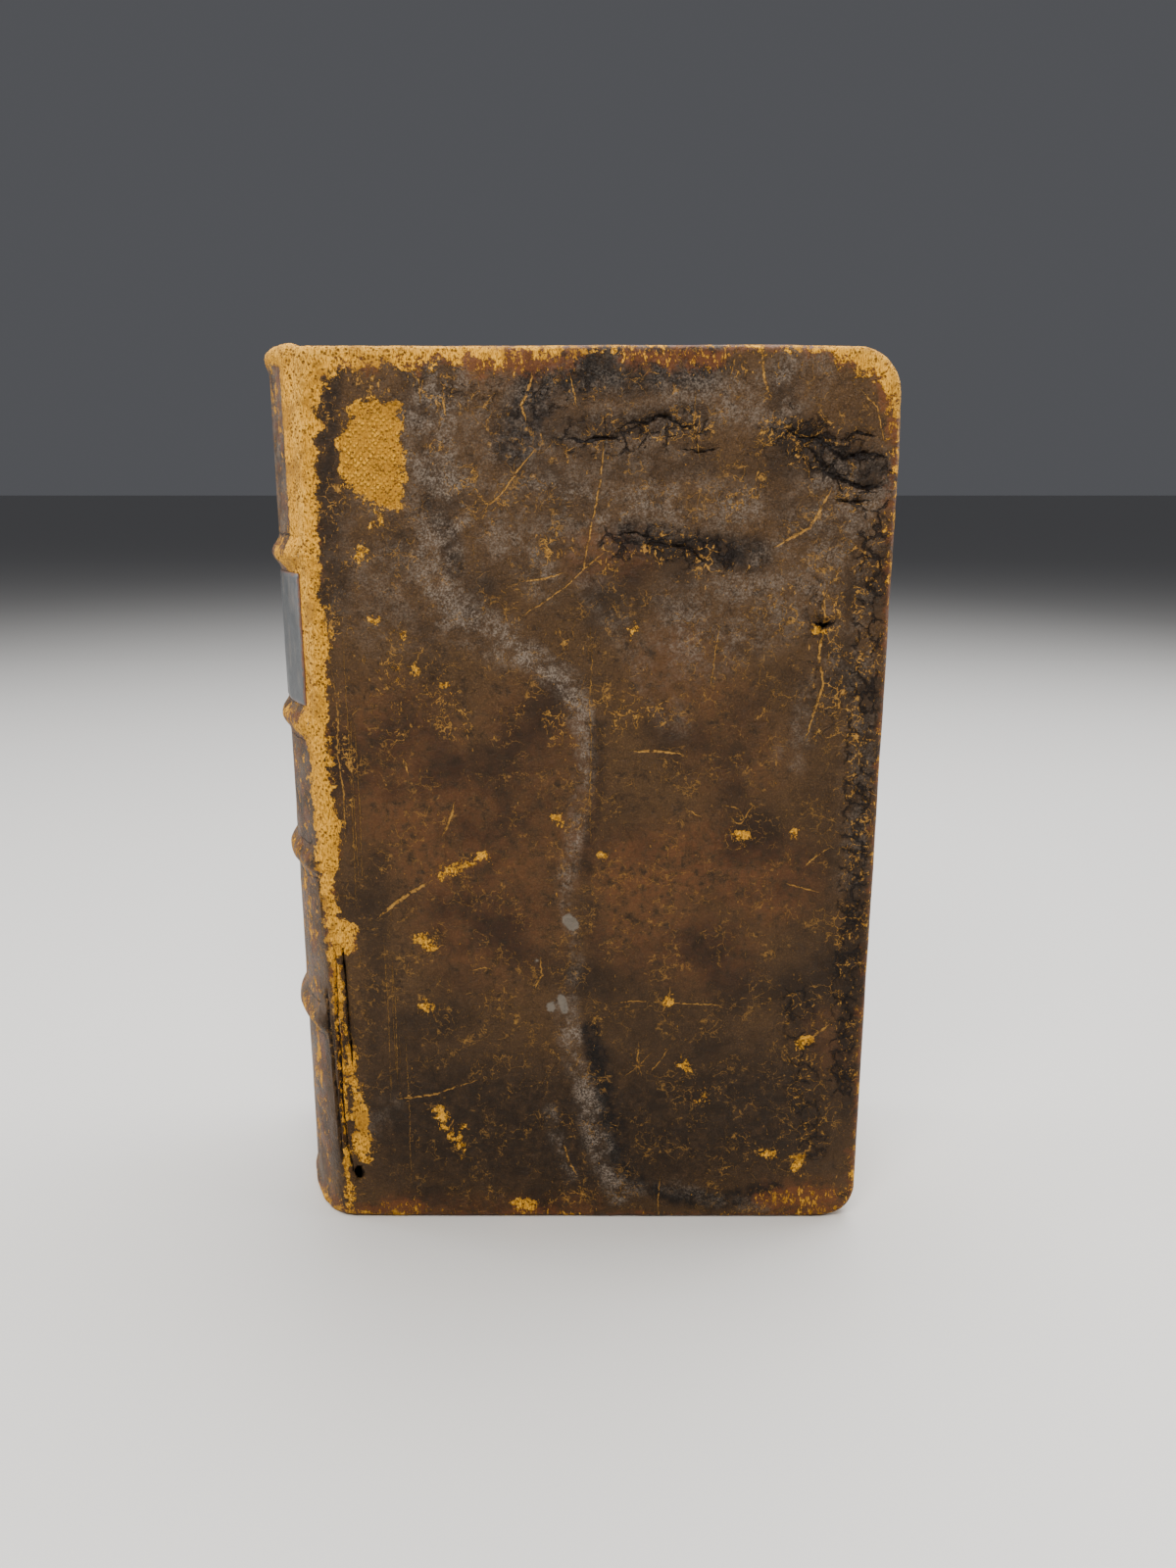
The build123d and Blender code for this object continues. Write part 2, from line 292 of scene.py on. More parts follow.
OCHRE_SPOTS = (
    (-39.6, 75, -39.2, 74.4, 1.7), (-40.6, 58, -40.2, 57.6, 1.3), (-33, 20, -32.4, 20.4, 1.5),
    (-34, 21.5, -36, 25, 0.4), (-32.4, 22, -32, 26, 0.35), (-37, 30.5, -36.8, 28.6, 0.8),
    (-51, 166, -50.4, 167, 1.0), (34.6, 102, 36, 101.6, 0.9), (18.8, 60, 19.4, 59.2, 1.0),
    (51, 48, 53.5, 49.6, 0.7), (44, 18.5, 46, 18, 0.9), (52, 14, 53, 17, 1.0),
    (-36, 91.8, -30, 94.2, 0.95), (-30, 94.2, -25, 96.4, 0.7), (-58.6, 47.8, -58.4, 44, 0.8),
    (-47, 172, -46.4, 172.4, 0.7), (51.5, 149.8, 53.2, 149.6, 0.7), (-18, 4, -15, 3, 1.3),
    (28, 33.6, 28.6, 35, 0.5), (23, 43, 24, 41, 0.5), (47.6, 101.6, 48.2, 102.4, 0.5),
    (-8, 105.6, -7.4, 105.2, 0.5), (2.5, 97, 3.4, 96.6, 0.4), (37, 180.6, 38, 180.8, 0.5),
    (-44.4, 141, -43.6, 140.4, 0.6), (-40, 140.8, -39.4, 140, 0.7), (-33.4, 137.6, -32.8, 137, 0.5),
    (-48.5, 152.8, -47.8, 152.2, 0.5), (-42.8, 148.6, -42.4, 148.2, 0.5), (10, 150, 10.8, 149.2, 0.5),
)
RED_RUBS = ((44, 5, 60, 6, 2.5), (-24, 206, -4, 207, 2.0), (8, 207.5, 28, 207, 1.6), (-52, 3, -44, 3, 1.8))
PALE_SPOTS = ((-5.2, 80.6, -4.2, 79.4, 1.5), (-7.0, 60.4, -6.2, 57.4, 1.0), (-9.7, 58.6, -9.4, 57.6, 0.9),
              (-13.2, 70.5, -12.6, 70, 0.35), (30.4, 177.8, 30.6, 177.4, 0.5), (3.3, 190.2, 3.5, 190, 0.3))
DARK_LINES = (
    (((-4.5, 190.6), (-1, 190.2), (2, 190.9), (5.5, 190.8)), 0.42),
    (((6, 192.6), (9, 194.4), (12, 193.8), (15, 195.6), (17.4, 194.6), (20, 193), (22.6, 193.6)), 0.3),
    (((42.6, 192.4), (46, 190.4), (49, 190.8), (52.6, 188.2), (55, 186.4), (59, 187.8), (63.4, 187.2)), 0.42),
    (((50, 184.6), (53, 182.8), (56.6, 181.4), (59, 180.4), (62.6, 180.9)), 0.45),
    (((47, 189.4), (50, 185.6), (52.4, 184.6)), 0.3),
    (((55, 190.4), (57.6, 192.2), (61, 191.2)), 0.25),
    (((53, 178), (57, 177.2), (61, 178)), 0.22),
    (((20, 188.6), (24, 188), (27, 188.6)), 0.2),
    (((12.6, 168.6), (17, 168.2), (21.6, 167.6), (25, 165)), 0.3),
    (((6, 170.4), (10, 170.8), (14, 169.4)), 0.22),
    (((-61.7, 73), (-61.9, 60), (-61.6, 48), (-61.8, 34), (-61.2, 20), (-59.6, 12)), 0.26),
    (((-59.6, 73), (-59.3, 66), (-59.0, 52), (-58.6, 40)), 0.2),
    (((50.6, 150.8), (52.4, 150.2), (54, 151.2)), 0.5),
    (((-66.2, 92), (-65.6, 70), (-64.2, 50), (-63.3, 30), (-62.6, 16)), 0.24),
    (((-65.4, 210), (-65.4, 206), (-66.0, 201)), 0.3),
)
LIGHT_LINES = (
    (((3, 190), (2.2, 182), (0.6, 174), (-0.6, 168), (-1.6, 162.6)), 0.22),
    (((0, 150), (0.4, 142), (-0.2, 133), (0.3, 124), (-0.1, 112), (0.2, 100)), 0.14),
    (((-15, 152.8), (-10, 156), (-5, 159.6), (-1, 163.4), (3, 166.6)), 0.2),
    (((52.4, 180), (50, 175), (48, 171.8), (44.4, 169.8), (41, 168)), 0.34),
    (((52, 158), (52.6, 151), (51.4, 144), (52.8, 137), (50.8, 130), (49.4, 125)), 0.3),
    (((-12.4, 203.6), (-13.6, 200), (-14.8, 197.6), (-14, 195)), 0.34),
    (((-4.4, 204), (-3.6, 200.6), (-3, 197.6)), 0.2),
    (((-31.6, 199), (-31.2, 195.8)), 0.3),
    (((-50, 81.5), (-47, 84.2), (-42.6, 87.4), (-38, 90)), 0.42),
    (((-47.6, 33.4), (-42.6, 34), (-38, 34.8), (-33, 36.8), (-28, 38.4)), 0.26),
    (((6, 59), (10, 59.6), (18, 59.2), (26, 58.8), (32, 58.6)), 0.2),
    (((17.6, 56.8), (19, 59.6), (19.4, 62.8)), 0.22),
    (((51.4, 47.4), (54.6, 50.2), (58, 53.2)), 0.28),
    (((10.4, 121.6), (14, 121.8), (20.6, 121.2)), 0.34),
    (((33, 105.6), (35, 104), (37.6, 108.4)), 0.2),
    (((31, 109), (34.6, 108), (36.6, 104.4)), 0.16),
    (((22.6, 107.8), (25.4, 106.2)), 0.2),
    (((-34.4, 101.8), (-33, 104.4), (-31.6, 109)), 0.3),
    (((-43, 119.6), (-42.2, 116.8)), 0.3),
    (((-28.4, 67.6), (-25.6, 68.4), (-23.8, 68)), 0.2),
    (((-12, 70.4), (-11.6, 66.4), (-13.4, 63)), 0.24),
    (((12, 48), (11.6, 44), (12.6, 40.4)), 0.22),
    (((19.6, 47.6), (17, 43.4), (15, 41)), 0.18),
    (((8, 39), (12, 42.4), (15, 46)), 0.13),
    (((-58.4, 139.6), (-57.6, 130), (-58.2, 121), (-57.2, 112), (-57.4, 101)), 0.2),
    (((56, 98.4), (53, 96.4), (50.6, 94)), 0.2),
    (((46.4, 89.6), (50, 88.6), (54, 87.6)), 0.2),
    (((-23.6, 175.4), (-19, 179.6), (-15.4, 184.6), (-12, 188.4)), 0.2),
    (((-14.6, 160.4), (-10.6, 160.8), (-6.4, 162)), 0.26),
    (((17.6, 11), (17.2, 5), (17.4, 0)), 0.18),
    (((29, 150.6), (28, 143), (27.4, 137)), 0.16),
    (((-39.6, 206), (-36.6, 202.6), (-36.4, 198.4)), 0.2),
    (((22.6, 200), (22.2, 194), (23.6, 186.6)), 0.16),
    (((4, 58.8), (-1, 60.2)), 0.12),
    (((-6.4, 20.4), (-5.4, 16), (-3.6, 12.8)), 0.3),
    (((-35.6, 24.6), (-34, 27.6)), 0.2),
    (((58.2, 200.4), (61.6, 197), (63.4, 190)), 0.2),
    (((36.6, 208), (37, 203.4), (38.4, 199.6)), 0.3),
    (((31, 209), (30, 204)), 0.2),
)
FILLET_LINES = tuple(
    ((((x, low), (x + 0.3, (low + high) / 2), (x, high))), 0.12)
    for x, low, high in (
        (-49.4, 34, 76), (-47.6, 38, 70), (-45.2, 10, 50), (-55.6, 84, 148), (-53.9, 90, 128),
    )
)
# Grey bloom of dust, and painted light: the broad spot over the upper right lightens it as if lit from above.
HAZE_AND_PAINTED_LIGHT = (
    (((-36, 160), (-28, 152), (-20, 147)), 8.0, 0.75),
    (((-20, 147), (-13, 143), (-6, 138), (-2, 130)), 5.0, 0.9),
    (((-2, 130), (-1, 120), (-2, 110), (-5, 95), (-6.5, 86)), 3.4, 0.6),
    (((-6.5, 86), (-5, 80), (-3, 70), (-6, 60)), 2.4, 0.4),
    (((-6, 60), (-5, 50), (-3, 42), (-1, 35)), 4.2, 0.62),
    (((-1, 35), (1, 25), (4, 15), (7, 7)), 4.6, 0.85),
    (((-10, 30), (-8, 20), (-5, 12)), 2.6, 0.6),
    (((-32, 202), (-36, 190), (-30, 178), (-34, 168)), 10.0, 0.7),
    (((-12, 178), (2, 176), (16, 178), (34, 176)), 8.0, 0.6),
    (((-22, 170), (-14, 166), (-10, 160)), 7.0, 0.5),
    (((20, 200), (38, 198), (46, 205)), 9.0, 0.5),
    (((0, 160), (8, 148), (14, 138), (20, 128)), 6.0, 0.26),
    (((56, 150), (50, 132), (46, 120)), 6.0, 0.32),
    (((8, 8), (20, 9), (34, 4), (46, 3)), 3.4, 0.34),
    (((-54, 26), (-50, 32)), 5.0, 0.25),
    (((60, 160), (62, 130), (62, 90)), 6.0, 0.3),
    # Painted light over the cover's upper right.
    (((24, 150), (44, 160), (56, 178)), 17.0, 0.5),
    (((-16, 143.5), (-9, 141), (-4, 135), (-1.8, 127), (-1.2, 118), (-2, 108), (-4.4, 96)), 1.8, 0.8),
    (((-3.8, 52), (-1.8, 40), (0.2, 30), (2.7, 20), (5.7, 12)), 2.0, 1.0),
    (((-24, 180), (-8, 172), (20, 178)), 12.0, 0.3),
    (((-46, 166), (-44, 158)), 5.0, 0.4),
    (((-44, 160), (-30, 190), (10, 196)), 24.0, 0.3),
)
# Darker places: grime, and painted shade, where broad spots darken the lower third of the cover as if lit
# from above.
GRIME_AND_PAINTED_SHADE = (
    (((-16, 190), (-10, 204), (6, 205), (24, 206)), 9.0, 0.85),
    (((-18, 190), (-14, 182)), 5.0, 0.5),
    (((-35, 177), (-31, 170), (-30, 163)), 4.0, 0.65),
    (((-55, 203), (-57, 190), (-57.5, 180)), 4.0, 0.7),
    (((42, 192), (52, 186), (62, 183)), 8.0, 0.75),
    (((8, 170), (20, 168), (36, 166)), 6.5, 0.8),
    (((3, 128), (2.5, 110), (0, 96)), 3.0, 0.28),
    (((-1, 84), (2, 74), (0, 62)), 4.5, 0.4),
    (((2, 46), (5, 34), (8, 22), (12, 10)), 5.0, 0.8),
    (((12, 10), (22, 6), (34, 5), (46, 8)), 5.0, 0.85),
    (((-52, 14), (-38, 10), (-24, 12)), 7.0, 0.45),
    (((62.5, 130), (63, 90), (62.5, 40)), 4.5, 0.7),
    (((46, 140), (50, 124)), 5.0, 0.35),
    (((-50, 96), (-52, 60), (-54, 20)), 5.0, 0.45),
    # Painted shade: these broad spots darken the lower third of the cover.
    (((-30, 60), (-24, 30)), 18.0, 0.25),
    (((10, 60), (30, 40)), 22.0, 0.4),
    (((-40, 28), (0, 22), (44, 30)), 32.0, 0.66),
    (((54, 110), (52, 60)), 12.0, 0.3),
    (((1.4, 128), (1.8, 112), (-1.4, 92)), 3.0, 0.55),
    (((0, 52), (2.4, 38), (5.2, 24), (8.4, 12)), 4.0, 0.95),
    (((-38, 196), (-30, 200)), 6.0, 0.5),
    (((4, 186), (24, 186)), 7.0, 0.4),
    (((-8, 192), (6, 193), (22, 195)), 6.0, 0.6),
    (((44, 176), (58, 170)), 8.0, 0.35),
)
WARMTH = (
    (((-46, 120), (-30, 100), (-24, 80)), 26.0, 0.8),
    (((-14, 125), (-10, 100)), 20.0, 0.5),
    (((10, 92), (30, 96), (44, 90)), 16.0, 0.95),
    (((10, 78), (30, 72)), 16.0, 0.7),
    (((0, 166), (8, 166)), 9.0, 0.8),
    (((20, 140), (34, 120)), 18.0, 0.4),
    (((-24, 206), (-12, 207)), 6.0, 0.9),
    (((8, 207.5), (26, 207)), 4.0, 0.9),
    (((46, 6), (58, 6)), 8.0, 1.0),
    (((60, 44), (56, 54)), 7.0, 0.6),
    (((-50, 4), (-20, 3), (0, 4)), 5.0, 0.9),
)
FLECKS = (
    (((-55.5, 205), (-56.5, 150), (-56, 100)), 4.6, 0.9),
    (((-56, 206), (-44, 203), (-32, 204)), 7.0, 1.0),
    (((-50, 142), (-44, 134), (-42, 128)), 8.0, 0.95),
    (((-36, 142), (-32, 132), (-28, 124)), 7.0, 0.8),
    (((-16, 130), (-8, 128), (-4, 122)), 8.0, 0.65),
    (((-10, 168), (4, 166), (20, 168)), 7.0, 0.95),
    (((24, 166), (40, 160), (46, 150)), 9.0, 0.6),
    (((52, 160), (52, 146), (56, 134)), 7.0, 0.95),
    (((60, 176), (62, 140), (63, 96), (62, 44)), 6.0, 0.95),
    (((16, 131), (6, 130)), 6.0, 0.75),
    (((30, 178), (44, 188), (56, 190)), 8.0, 0.6),
    (((16, 206), (40, 205)), 7.0, 0.7),
    (((-36, 100), (-30, 92)), 7.0, 0.4),
    (((-12, 100), (-30, 66)), 10.0, 0.3),
    (((30, 104), (36, 100)), 6.0, 0.4),
    (((40, 22), (56, 16)), 9.0, 0.6),
    (((-24, 8), (-4, 6)), 6.0, 0.7),
    (((-44, 192), (-34, 186)), 8.0, 0.6),
    (((-26, 182), (-20, 176)), 8.0, 0.6),
    (((-20, 150), (-4, 147)), 5.0, 0.6),
    (((40, 132), (54, 128)), 8.0, 0.5),
)

CRACKLED = (
    (((62, 172), (62, 110), (62, 36)), 5.0, 1.0),
    (((-4, 191), (8, 191), (22, 193)), 6.0, 0.95),
    (((42, 192), (54, 187), (62, 180)), 9.0, 1.0),
    (((6, 169), (18, 168), (28, 166)), 6.5, 0.95),
    (((50, 158), (53, 128)), 6.0, 0.45),
    (((-14, 198), (-2, 202)), 7.0, 0.6),
    (((-50, 142), (-42, 134), (-30, 124)), 8.0, 0.3),
    (((-14, 131), (14, 131)), 6.0, 0.25),
    (((56, 20), (50, 60)), 7.0, 0.6),
    (((-36, 202), (-20, 198)), 6.0, 0.4),
)


# Relief of the front cover: soft spots, then depths and heights in millimetres.
PUCKERS = ((55, 186, 11, 1.0), (14, 192, 10, 0.6), (1, 191, 6, 0.7), (52, 152, 7, 0.5))
PIT = ((52.4, 150.9, 2.0, 1.0),)
PIT_LIP = ((((50, 153.4), (54.6, 153)), 1.6, 1.0),)
HOLE_X, HOLE_Z = -58.4, 12.4  # the torn hole at the tail of the joint
HOLE_HALF_WIDTH, HOLE_HALF_HEIGHT = 1.25, 2.0
SWELL, RIPPLE = 0.22, 0.07
TEAR_DEPTH, TEAR_LIP, LIP_REACH = 0.75, 0.5, 1.1
SUEDE_DEPTH, FRAY = 0.28, 0.12
CRACKLE_HEIGHT, PUCKER_HEIGHT = 0.32, 0.7
PIT_DEPTH, PIT_LIP_RISE, HOLE_DEPTH = 0.8, 0.5, 1.1
GROOVE_PLACE, GROOVE_WIDTH = 3.4, 1.9  # the groove beside the joint, from the corner
NOTCH_PLACE, NOTCH_WIDTH, NOTCH_DEPTH = -2.6, 0.9, 0.9  # between the headcap and the board's corner
FEWEST_FLECKS = 0.3


def inside_outline(points, x, z):
    """Distance inside a closed outline of points, negative outside it."""
    closed = [*points, points[0]]
    distance = along(closed, x, z)[1]
    inside = np.zeros(x.shape, bool)
    for (ax, az), (bx, bz) in zip(closed, closed[1:]):
        crosses = (az > z) != (bz > z)
        reach = ax + (z - az) / (bz - az if bz != az else 1e-9) * (bx - ax)
        inside ^= crosses & (x < reach)
    return np.where(inside, distance, -distance)


def front_marks(u, z):
    """Every mark over the front cover, at places u from its corner at the joint and z above the tail."""
    x = u - MARKS_ZERO
    patch = inside_outline(PATCH, x, z)
    strip = np.minimum(u - np.interp(z, *zip(*STRIP_LEFT)), np.interp(z, *zip(*STRIP_RIGHT)) - u)
    head = np.interp(x, *zip(*HEAD_WEAR)) - np.abs(HEIGHT - z)
    fore = np.interp(z, *zip(*FORE_WEAR)) - np.abs(FACE_LENGTH - u)
    tail = np.interp(x, *zip(*TAIL_WEAR)) - np.abs(z)
    second = spots(SECOND_STRIP, x, z)
    edges = 0.5 * np.maximum(head, fore - 1.5) - 0.3
    bare = np.max([strip, patch, second, edges, 0.5 * tail - 1.4, spots(OCHRE_SPOTS, x, z)], axis=0)
    hole = np.hypot((x - HOLE_X) / HOLE_HALF_WIDTH, (z - HOLE_Z) / HOLE_HALF_HEIGHT)
    dark, dark_width = lines_field(DARK_LINES, x, z)
    light, light_width = lines_field(LIGHT_LINES + FILLET_LINES, x, z)
    return {
        "bare": bare,
        "rubbed": np.max([head, fore, tail, strip - 1.0, spots(RED_RUBS, x, z)], axis=0),
        "weave": step(patch, -0.3, 0.6),
        # haze: dust, and painted light at the upper right
        "haze": blots(HAZE_AND_PAINTED_LIGHT, x, z),
        # shade: grime and painted shade
        "shade": blots(GRIME_AND_PAINTED_SHADE, x, z),
        "warmth": blots(WARMTH, x, z),
        "flecks": np.maximum(blots(FLECKS, x, z), FEWEST_FLECKS),
        "dark_line": dark,
        "dark_width": dark_width,
        "light_line": light,
        "light_width": light_width,
        "crackle": blots(CRACKLED, x, z),
        "pale": spots(PALE_SPOTS, x, z),
        "hole": 1 - step(hole, 0.7, 1.15),
    }


def valley(u, middle, width):
    """1 along an upright line and 0 away from it."""
    return np.exp(-(((u - middle) / width) ** 2))


def joint_groove(u, z):
    """The groove pressed beside the joint, which ends short of the head and the tail."""
    ends = step(z, 4, 12) * (1 - step(z, HEIGHT - 12, HEIGHT - 4))
    return -size("groove_depth") * valley(u, GROOVE_PLACE, GROOVE_WIDTH) * ends


def front_relief(u, z, marks):
    """How far the hide stands out of the plain shape, in millimetres."""
    x, level = u - MARKS_ZERO, 0 * u
    line, width = marks["dark_line"], marks["dark_width"]
    swell = SWELL * cloud(x, level, z, 38, 3, 3) + RIPPLE * cloud(x, level, z, 6, 11, 2)
    tear = -TEAR_DEPTH * (1 - step(np.abs(line), width * 0.6, width * 1.3 + 0.3)) * step(width, 0.02, 0.2)
    lip = TEAR_LIP * step(width, 0.1, 0.4) * np.sin(pi * np.clip(line / LIP_REACH, 0, 1)) ** 2
    suede = -SUEDE_DEPTH * step(marks["bare"], -0.4, 0.7)
    crackle = CRACKLE_HEIGHT * marks["crackle"] * cloud(x, level, z, 2.2, 21, 2)
    wrinkle = PUCKER_HEIGHT * blots(PUCKERS, x, z) * cloud(x * 0.6, level, z, 2.6, 31, 3)
    pit = PIT_LIP_RISE * blots(PIT_LIP, x, z) - PIT_DEPTH * blots(PIT, x, z)
    hole = -HOLE_DEPTH * marks["hole"]
    notch = -NOTCH_DEPTH * valley(u, NOTCH_PLACE, NOTCH_WIDTH) * step(z, 198, 204)
    frayed = FRAY * step(marks["bare"], 0.0, 1.0) * cloud(x, level, z, 1.3, 41, 2)
    return swell + tear + lip + suede + crackle + wrinkle + pit + hole + joint_groove(u, z) + notch + frayed


# ---- Marks on the back cover and the spine -------------------------------------------------------
BAND_FILLETS = tuple(
    (((-1, height + away), (0, height + away), (1, height + away)), 0.16)
    for height in BAND_HEIGHTS for away in (-4.2, 4.2)
)
FRONT_KNOBS = (
    (-13.5, 166, -9, 163.8, 2.2), (-8, 126, -5, 125.4, 1.7), (-9, 93, -7, 90, 0.9),
    (-6, 51, -4, 52, 1.0), (-9.4, 50, -8.6, 34, 0.5), (-12, 90, -11.6, 84, 0.5),
)
BACK_KNOBS = ((-9, 127, -6, 127, 1.6), (-9, 53, -7, 53, 1.3), (-12, 166, -10, 165, 1.1))
BACK_SCRATCHES = (
    (((-40, 110), (-20, 118), (-4, 121)), 0.25), (((10, 70), (24, 60)), 0.3),
    (((-10, 170), (-2, 150)), 0.2), (((30, 120), (34, 100), (33, 84)), 0.2),
)
MARK_NAMES = (
    "bare", "rubbed", "weave", "haze", "shade", "warmth", "flecks", "dark_line", "dark_width",
    "light_line", "light_width", "crackle", "pale", "hole",
)
UNMARKED = {"bare": -UNMARKED_DISTANCE, "rubbed": -UNMARKED_DISTANCE, "pale": -UNMARKED_DISTANCE,
            "dark_line": UNMARKED_DISTANCE, "light_line": UNMARKED_DISTANCE}
BACK_RUBS = (
    (-20, 60, -19, 61, 1.3), (31, 148, 33, 147, 1.6), (12, 30, 20, 33, 0.5), (-34, 176, -32, 170, 0.8),
)
BACK_SWELL, BACK_RIPPLE, BACK_SUEDE_DEPTH = 0.22, 0.06, 0.25


def back_marks(u, z):
    """Plain wear over the back cover, which is rubbed at its joint, edges and corners."""
    x, level = u - MARKS_ZERO, 0 * u
    ragged = cloud(x, level + 50, z, 9, 61, 3)
    joint = np.minimum(u + 4.0 + 2.5 * ragged, 2.4 + 2.2 * cloud(x * 0.2, level, z, 14, 63, 2) - u)
    past_fore, past_head, past_tail = (np.abs(FACE_LENGTH - u), np.abs(HEIGHT - z), np.abs(z))
    corner = np.minimum(np.hypot(past_fore, past_head), np.hypot(past_fore, past_tail))
    edge = np.min([past_head, past_tail, past_fore], axis=0)
    worn = np.maximum(0.5 + 1.3 * ragged - edge, 8.5 + 3 * ragged - corner)
    broad = cloud(x, level + 9, z, 42, 71, 3)
    streaks = cloud(x, level + 4, z * 0.3, 7, 73, 3)
    scratch, scratch_width = lines_field(BACK_SCRATCHES, x, z)
    return {
        "bare": np.max([joint, worn, spots(BACK_RUBS, x, z)], axis=0),
        "rubbed": np.maximum(worn + 0.8, joint - 1),
        "haze": step(broad, 0.2, 0.75) * 0.55,
        "shade": step(-broad, 0.1, 0.6) * 0.5,
        "warmth": step(streaks, -0.2, 0.6) * 0.6,
        "flecks": 0.15 + 0.6 * step(ragged, 0.1, 0.6),
        "light_line": scratch,
        "light_width": scratch_width,
        "crackle": step(x, 54, 61) * 0.6,
    }


def back_relief(u, z, marks):
    """Relief of the back cover."""
    x, level = u - MARKS_ZERO, 0 * u
    swell = BACK_SWELL * cloud(x, level + 5, z, 38, 83, 3) + BACK_RIPPLE * cloud(x, level, z, 6, 85, 2)
    return swell + joint_groove(u, z) - BACK_SUEDE_DEPTH * step(marks["bare"], -0.4, 0.7)


def band_shape(z):
    """How far a raised band lifts the hide at each height, from 0 to 1."""
    return np.max([np.exp(-((np.abs(z - height) / 2.45) ** 2.6)) for height in BAND_HEIGHTS], axis=0)


def spine_marks(s, z):
    """Marks of the spine's hide, at places s round it from its middle, positive towards the front cover."""
    u = np.abs(s) - SPINE_ARC
    ragged = cloud(s, 0 * s, z, 4, 101, 3)
    caps = np.maximum(z - HEIGHT + 3.2 + 2.4 * ragged, 1.8 + 2 * ragged - z)
    knobs = spots(FRONT_KNOBS, np.where(s > 0, u, -40), z)
    back_knobs = spots(BACK_KNOBS, np.where(s < 0, u, -40), z)
    crest = 0.55 * band_shape(z) + 0.9 * cloud(s, 0 * s + 3, z, 7, 103, 2) - 1.0
    broad = cloud(s, 0 * s + 30, z * 0.5, 16, 111, 3)
    bare = np.max([caps, knobs, back_knobs, crest], axis=0)
    fillet, fillet_width = lines_field(BAND_FILLETS, 0 * s, z, 1.2)
    return {
        "bare": bare,
        "rubbed": bare + 0.4 + 0.7 * band_shape(z),
        "haze": np.clip(0.35 + 0.4 * broad + 0.45 * step(z, 168, 172), 0, 1),
        "shade": step(-broad, 0.0, 0.6) * 0.5 + 0.35 * (1 - step(z, 2, 8)),
        "warmth": step(cloud(s, 0 * s, z * 0.4, 9, 113, 2), 0, 0.6) * 0.4,
        "flecks": 0.2 + 0.5 * band_shape(z) + 0.25 * step(broad, 0, 0.5),
        "dark_line": fillet,
        "dark_width": fillet_width,
    }


def spine_relief(s, z):
    """Bands, flared caps and unevenness of the spine."""
    u = np.abs(s) - SPINE_ARC
    fade = 1 - step(u, -5.5, 0.4)
    band = size("band_rise") * band_shape(z) * fade * (1 + 0.1 * cloud(s, 0 * s, z, 5, 91, 2))
    flare = step(np.abs(z - HEIGHT / 2), HEIGHT / 2 - 5, HEIGHT / 2 - 1.5) * fade
    curl = 0.7 * flare * (1 + 0.5 * cloud(s, 0 * s + 2, z * 0.3, 4, 93, 2))
    return band + curl + 0.12 * fade * cloud(s, 0 * s + 8, z, 9, 95, 3)


def cover_share(u):
    """How far the spine's marks and relief have given way to a cover's, from 0 to 1."""
    return step(u, -6.0, -1.5)


def joined_marks(s, z, cover_marks=None):
    """The spine's marks turning into a cover's marks over the rounded joint."""
    on_spine = spine_marks(s, z)
    u = np.abs(s) - SPINE_ARC
    on_cover = cover_marks(u, z) if cover_marks else {}
    turn = cover_share(u)
    marks = {}
    for name in MARK_NAMES:
        plain = np.full(u.shape, float(UNMARKED.get(name, 0)))
        a, b = on_spine.get(name, plain), on_cover.get(name, plain)
        marks[name] = a * (1 - turn) + b * turn if cover_marks else a
    if cover_marks:
        marks["bare"] = np.maximum(marks["bare"], np.where(u > -8, on_cover["bare"], -UNMARKED_DISTANCE))
    return marks


# ---- The hide: a flat blank, folded over the boards as a binder folds it -------------------------
def plan(u):
    """The hide's outer face from above, with the front cover at -Y: round the spine, then along the cover."""
    def sharp(v):
        angle = JOINT_ANGLE + np.minimum(v, 0) / SPINE_RADIUS
        px = np.where(v < 0, CENTRE_X - SPINE_RADIUS * np.cos(angle), CORNER_X + v)
        py = np.where(v < 0, -SPINE_RADIUS * np.sin(angle), -FACE_Y)
        return px, py
    reach = size("joint_round")
    x, y = sharp(u)
    (ax, ay), (bx, by) = sharp(np.array(-reach)), sharp(np.array(reach))
    t = np.clip((u + reach) / (2 * reach), 0, 1)
    near = np.abs(u) < reach
    x = np.where(near, (1 - t) ** 2 * ax + 2 * t * (1 - t) * CORNER_X + t * t * bx, x)
    y = np.where(near, (1 - t) ** 2 * ay - 2 * t * (1 - t) * FACE_Y + t * t * by, y)
    return x, y


def plan_normal(u):
    """Outward normal of that line."""
    x0, y0 = plan(u - 0.05)
    x1, y1 = plan(u + 0.05)
    run = np.hypot(x1 - x0, y1 - y0)
    return (y1 - y0) / run, (x0 - x1) / run


def fold_depth(u):
    """How deep the hide's edge is: the cap on the spine, thin in the joint, the whole board on the cover."""
    on_spine = size("cap_depth") + (size("joint_depth") - size("cap_depth")) * step(u, -3.4, -1.2)
    return np.where(u < 0, on_spine, np.clip(u + 0.9, size("joint_depth"), COVER_DEPTH))


def past_edge(u, z):
    """How far past the start of the edge's roll each place is, and the direction across the edge there."""
    roll = size("edge_roll")
    right = FACE_LENGTH - roll
    over_right, over_head, over_tail = u - right, z - HEIGHT + roll, roll - z
    distance = np.maximum.reduce([over_right, over_head, over_tail])
    nu = np.where(over_right >= distance, 1.0, 0.0)
    nz = np.where(nu > 0, 0.0, np.where(over_head >= distance, 1.0, -1.0))
    for name, up, line in (("head_corner", 1, HEIGHT - roll), ("tail_corner", -1, roll)):
        radius = size(name) - roll
        du, dz = u - right + radius, up * (z - line) + radius
        reach = np.maximum(np.hypot(du, dz), 1e-6)
        corner = (du > 0) & (dz > 0)
        distance = np.where(corner, reach - radius, distance)
        nu = np.where(corner, du / reach, nu)
        nz = np.where(corner, up * dz / reach, nz)
    return distance, nu, nz


